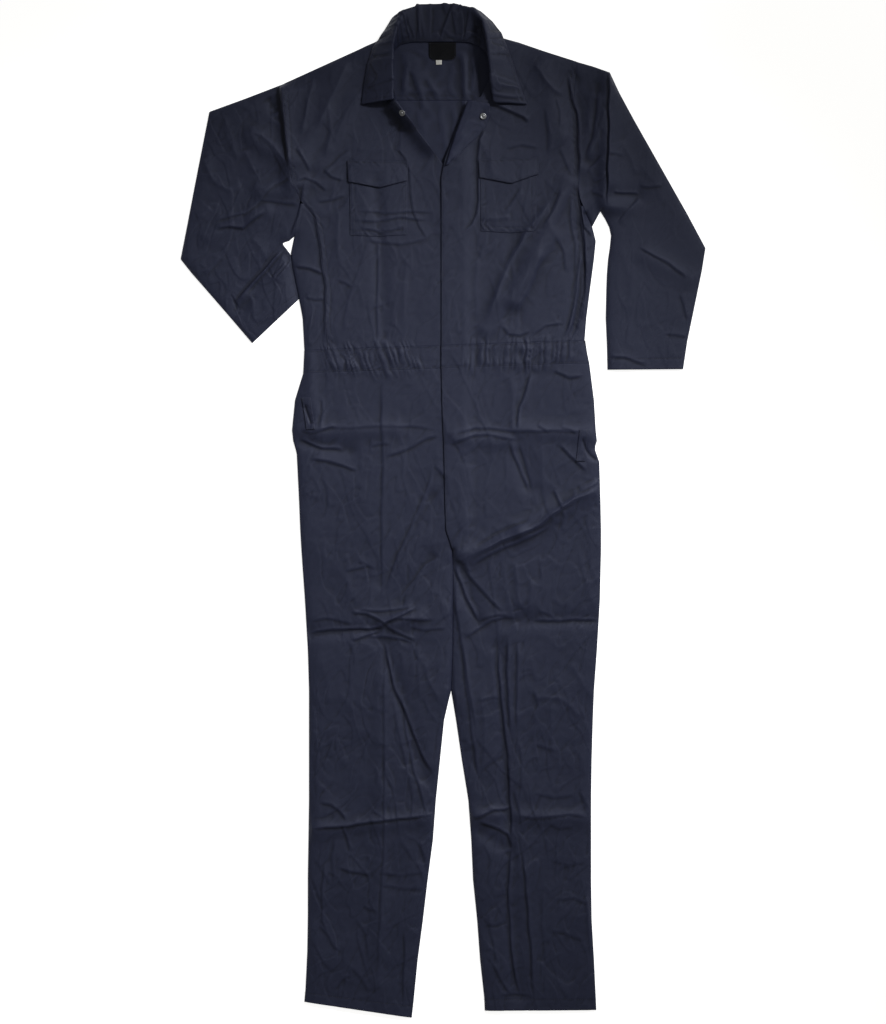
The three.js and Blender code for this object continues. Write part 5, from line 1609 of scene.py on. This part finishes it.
def collar_relief(gaps):
    """Crumples and folds of the collar, and the dent behind its left leaf."""
    along = gaps["start"]
    across = gaps["first"]
    share = across / across[:, -1:]
    ripple = 1.7 * crumple(along, 0.35 * across, 22.0, 2.4, 71)
    ripple += 1.1 * crumple(0.6 * along, across, 17.0, 2.0, 73)
    ripple += 0.9 * noise(along, 0.5 * across, 26.0, 72)
    for place, lean, tall, width in COLLAR_FOLDS:
        away = along - place - lean * across
        ripple += tall * sharp_fold(-away, 1.6 * width, width, 0.9) * smooth(share * 5)
    away = np.hypot((along - 277) / 11, (share - 0.3) / 0.2)
    ripple -= 3.4 * np.exp(-(away ** 2))
    ripple *= smooth(gaps["second"] / 10.0) * smooth(gaps["first"] / 6.0)
    return ripple


class SUIT_OT_collar(bpy.types.Operator):
    """Makes the rolled collar with its turned edge"""

    bl_idname = "boiler_suit.collar"
    bl_label = "Collar"

    def execute(self, context):
        grid = collar_grid()
        gaps = collar_gaps(grid)
        ripple = collar_relief(gaps)
        normal = surface_normals(grid)
        half = COLLAR_CLOTH / 2
        edges = ("second", "start", "stop")
        thin = np.ones(ripple.shape)
        stitched = np.zeros(ripple.shape)
        for name in edges:
            gap = np.clip(gaps[name] / 1.6, 0.0, 1.0)
            thin = thin * np.sqrt(np.maximum(0.06, 1.0 - (1.0 - gap) ** 2))
            stitched += -0.28 * np.exp(-(((gaps[name] - COLLAR_STITCHES) / 1.4) ** 2))
        outer = grid + normal * (half * thin + ripple + stitched)[..., None]
        inner = grid - normal * (half * thin - 0.6 * ripple)[..., None]
        uv = np.stack([gaps["start"], gaps["first"]], -1)
        piece = shell("cloth_collar", outer, inner, uv, bpy.data.materials["cloth_navy"])
        declare(piece, "collar")
        round_edge, *ends_sewn = [inset(outer, gaps, name, COLLAR_STITCHES) for name in edges]
        sew("stitches_collar", [round_edge, *[path[14:-2] for path in ends_sewn]])
        return {"FINISHED"}


class SUIT_OT_facing(bpy.types.Operator):
    """Makes the facing turned out at the neck"""

    bl_idname = "boiler_suit.facing"
    bl_label = "Neck facing"

    def execute(self, context):
        x, y, gaps = plan(FACING_LEFT, 2.2)
        share = gaps["first"] / np.maximum(1e-6, gaps["first"] + gaps["second"])
        roll = 1.4 * np.maximum(0.0, np.sin(math.pi * np.minimum(1.0, share + 0.25)))
        borders = {"first": "fold", "second": "edge", "start": "plain", "stop": "plain"}
        z = height(x, y) + overlap(x, y) + CLOTH + SEAM + 1.3 + roll + 1.0
        z += border_shape(x, y, gaps, borders) + 0.5 * ridged(x, y, 20.0, 72)
        outer = np.stack([x, y, z], -1)
        inner = outer - surface_normals(outer)
        uv = grain_uv(x, y, 0.6)
        material = bpy.data.materials["cloth_navy_inside"]
        piece = shell("cloth_front_facing_left", outer, inner, uv, material)
        declare(piece, "front_facing_left")
        sew("stitches_facing", [inset(outer, gaps, "second", 2.2)])
        return {"FINISHED"}


def pocket_set(side, pocket, flap, welt, outside):
    """A chest pocket with its pointed flap, and the welt of the side opening below it."""
    middle = pocket[1][0]

    def on_front(x, y):
        hollow = np.clip((y - 470) / 120, 0, 1) * np.cos((x - middle) / 50 * math.pi / 2)
        return outside(x, y) + SEAM + 0.72 + 0.6 * np.clip(hollow, 0, 1)

    def on_pocket(x, y):
        away = np.clip((600 - y) / 45, 0.0, 1.0)
        curl = 1.0 * np.cos((x - middle) / 26) * away
        return on_front(x, y) + SEAM + 1.0 + 1.9 * away ** 1.5 + 0.35 * curl

    def on_leg(x, y):
        return outside(x, y) + 3.6 * SEAM + 0.9

    around = {"start": "felled", "stop": "felled", "second": "felled"}
    sewn = cloth_panel(f"chest_pocket_{side}", pocket, on_front, around, 2.0, THIN_WALL)
    around = {"start": "edge", "stop": "edge", "second": "edge", "first": "seam"}
    sewn += cloth_panel(f"chest_flap_{side}", flap, on_pocket, around, 2.0, THIN_WALL)
    around = {"start": "edge", "stop": "edge", "second": "edge", "first": "edge"}
    sewn += cloth_panel(f"side_welt_{side}", welt, on_leg, around, 1.6, THIN_WALL)
    sew(f"stitches_pocket_{side}", sewn)


class SUIT_OT_pockets(bpy.types.Operator):
    """Makes the chest pockets, their pointed flaps and the side openings' welts"""

    bl_idname = "boiler_suit.pockets"
    bl_label = "Pockets"

    def execute(self, context):
        pocket_set("right", POCKET_RIGHT, FLAP_RIGHT, WELT_RIGHT, outside_right)
        pocket_set("left", POCKET_LEFT, FLAP_LEFT, WELT_LEFT, outside_left)
        return {"FINISHED"}


def tab_rows(left, top, width, tall, corner):
    """Sections of a tab with its lower corners rounded."""
    right = left + width
    bend = top - tall + corner
    rows = [(left, top, right, top), (left, bend, right, bend)]
    for k in range(1, 9):
        angle = k / 9 * math.pi / 2
        draw = corner * (1.0 - math.cos(angle))
        y = top - tall + corner * (1.0 - math.sin(angle))
        rows.append((left + draw, y, right - draw, y))
    rows.append((left + corner, top - tall, right - corner, top - tall))
    return rows


class SUIT_OT_labels(bpy.types.Operator):
    """Makes the blank neck label and the blank size tab"""

    bl_idname = "boiler_suit.labels"
    bl_label = "Labels"

    def execute(self, context):
        rim = {"first": "plain", "second": "plain", "stop": "plain"}
        for node, box, slot, satin, lift, step in (
            ("neck_label", LABEL_BOX, "label_satin", "satin_black", 1.5, 1.2),
            ("size_tab", TAB_BOX, "tab_white", "satin_white", 0.95, 0.8),
        ):
            rows = tab_rows(*box)
            x, y, gaps = plan(rows, step)
            z = yoke_top(x, y) + lift + 0.12 * noise(x, y, 24.0, 81)
            z += 0.4 * border_shape(x, y, gaps, rim)
            outer = np.stack([x, y, z], -1)
            inner = outer - np.array([0.0, 0.0, 0.45])
            cloth = bpy.data.materials[satin]
            piece = shell(f"cloth_{node}", outer, inner, grain_uv(x, y), cloth)
            declare(piece, node)
            if node == "neck_label":
                sewn = [inset(outer, gaps, name, 1.8) for name in gaps]
                sew("stitches_label", sewn, pitch=0.0026)
        return {"FINISHED"}


def cloth_frame(x, y):
    """The upper layer's point at a place, the way it faces, a way along it and the one across."""
    near = STUD_REACH
    z = height(np.array([x + near, x - near, x, x, x]), np.array([y, y, y + near, y - near, y]))
    facing = np.array([(z[1] - z[0]) / (2 * near), (z[3] - z[2]) / (2 * near), 1.0])
    facing /= np.linalg.norm(facing)
    side = np.cross([0.0, 1.0, 0.0], facing)
    side /= np.linalg.norm(side)
    return np.array([x, y, z[4]]), facing, side, np.cross(facing, side)


def stud_faces(rings):
    """Faces of a turned body: its top point, its rings from the top down and its lowest point."""
    faces = []
    last_ring = 1 + (rings - 1) * STUD_SECTORS
    lowest_point = last_ring + STUD_SECTORS
    for k in range(STUD_SECTORS):
        nxt = (k + 1) % STUD_SECTORS
        faces.append((0, 1 + k, 1 + nxt))
        for r in range(rings - 1):
            a = 1 + r * STUD_SECTORS
            b = a + STUD_SECTORS
            faces.append((a + k, b + k, b + nxt, a + nxt))
        faces.append((last_ring + k, lowest_point, last_ring + nxt))
    return faces


class SUIT_OT_studs(bpy.types.Operator):
    """Makes the two press studs at the neck"""

    bl_idname = "boiler_suit.studs"
    bl_label = "Press studs"

    def execute(self, context):
        turned_rings = STUD_PROFILE[1:-1]
        for node, (x, y, lift) in (("stud_left", STUD_LEFT), ("stud_right", STUD_RIGHT)):
            foot, facing, side, ahead = cloth_frame(x, y)
            centre = foot + facing * lift
            points = [centre + facing * STUD_PROFILE[0][1]]
            for radius, tall in turned_rings:
                for angle in np.arange(STUD_SECTORS) * 2 * math.pi / STUD_SECTORS:
                    outwards = side * math.cos(angle) + ahead * math.sin(angle)
                    points.append(centre + facing * tall + outwards * radius)
            points.append(centre)
            mesh = bpy.data.meshes.new(f"metal_{node}")
            scaled = [tuple(float(c) * MM for c in p) for p in points]
            mesh.from_pydata(scaled, [], stud_faces(len(turned_rings)), shade_flat=False)
            mesh.materials.append(bpy.data.materials["plated_metal"])
            piece = bpy.data.objects.new(f"metal_{node}", mesh)
            context.scene.collection.objects.link(piece)
            declare(piece, node)
        return {"FINISHED"}


def hang_lamp(name, place, aim, watts, cone, soft):
    """A soft-edged round lamp that shines from its place to where it is aimed."""
    away = np.array(place) - np.array(aim)
    lamp = bpy.data.lights.new(name, "SPOT")
    lamp.energy = watts
    lamp.spot_size = math.radians(cone)
    lamp.spot_blend = 1.0
    lamp.shadow_soft_size = soft
    hung = bpy.data.objects.new(name, lamp)
    hung.location = place
    across = math.hypot(away[0], away[1])
    hung.rotation_euler = (math.atan2(across, away[2]), 0.0, math.atan2(away[0], -away[1]))
    bpy.context.scene.collection.objects.link(hung)


class SUIT_OT_stage(bpy.types.Operator):
    """Makes the pale floor, the soft studio light and the camera straight above"""

    bl_idname = "boiler_suit.stage"
    bl_label = "Stage"

    def execute(self, context):
        scene = context.scene
        far = 9.0
        mesh = bpy.data.meshes.new("floor")
        corners = [(-far, -far, 0), (far, -far, 0), (far, far, 0), (-far, far, 0)]
        mesh.from_pydata(corners, [], [(0, 1, 2, 3)])
        mesh.materials.append(bpy.data.materials["floor_white"])
        floor = bpy.data.objects.new("floor", mesh)
        scene.collection.objects.link(floor)
        camera_data = bpy.data.cameras.new("camera")
        camera_data.lens = LENS
        camera_data.sensor_width = SENSOR
        camera = bpy.data.objects.new("camera", camera_data)
        framed_height = 0.005
        distance = PICTURE_ROWS * PIXEL * MM * LENS / SENSOR
        camera.location = (0.0, 0.0, distance + framed_height)
        scene.collection.objects.link(camera)
        scene.camera = camera
        hang_lamp("key", (1.4, 1.7, 1.9), (-0.57, -0.6, 0.0), 406.0, 45.6, 0.14)
        hang_lamp("neck_fill", (1.5, 1.5, 1.5), (-0.01, 0.87, 0.0), 40.0, 20.0, 0.12)
        world = bpy.data.worlds.new("studio")
        world.use_nodes = True
        background = world.node_tree.nodes["Background"]
        background.inputs["Color"].default_value = (1.0, 0.98, 0.9, 1.0)
        background.inputs["Strength"].default_value = 0.21
        scene.world = world
        scene.view_settings.view_transform = "Standard"
        return {"FINISHED"}


class SUIT_PT_panel(bpy.types.Panel):
    """Lists the steps that build the suit"""

    bl_idname = "SUIT_PT_panel"
    bl_label = "Boiler suit"
    bl_space_type = "VIEW_3D"
    bl_region_type = "UI"
    bl_category = "Boiler suit"

    def draw(self, context):
        settings = context.scene.boiler_suit
        for name in settings.__annotations__:
            self.layout.prop(settings, name)
        for step in STEPS:
            self.layout.operator(step.bl_idname)


STEPS = (
    SUIT_OT_materials, SUIT_OT_stage, SUIT_OT_back, SUIT_OT_fronts, SUIT_OT_waistband,
    SUIT_OT_legs, SUIT_OT_sleeves, SUIT_OT_collar, SUIT_OT_facing, SUIT_OT_pockets,
    SUIT_OT_labels, SUIT_OT_studs,
)
CLASSES = (BoilerSuitSettings, *STEPS, SUIT_PT_panel)


def register():
    for item in CLASSES:
        bpy.utils.register_class(item)
    bpy.types.Scene.boiler_suit = PointerProperty(type=BoilerSuitSettings)


def unregister():
    del bpy.types.Scene.boiler_suit
    for item in reversed(CLASSES):
        bpy.utils.unregister_class(item)


def main():
    register()
    for step in STEPS:
        section, name = step.bl_idname.split(".")
        getattr(getattr(bpy.ops, section), name)()


if __name__ == "__main__":
    main()
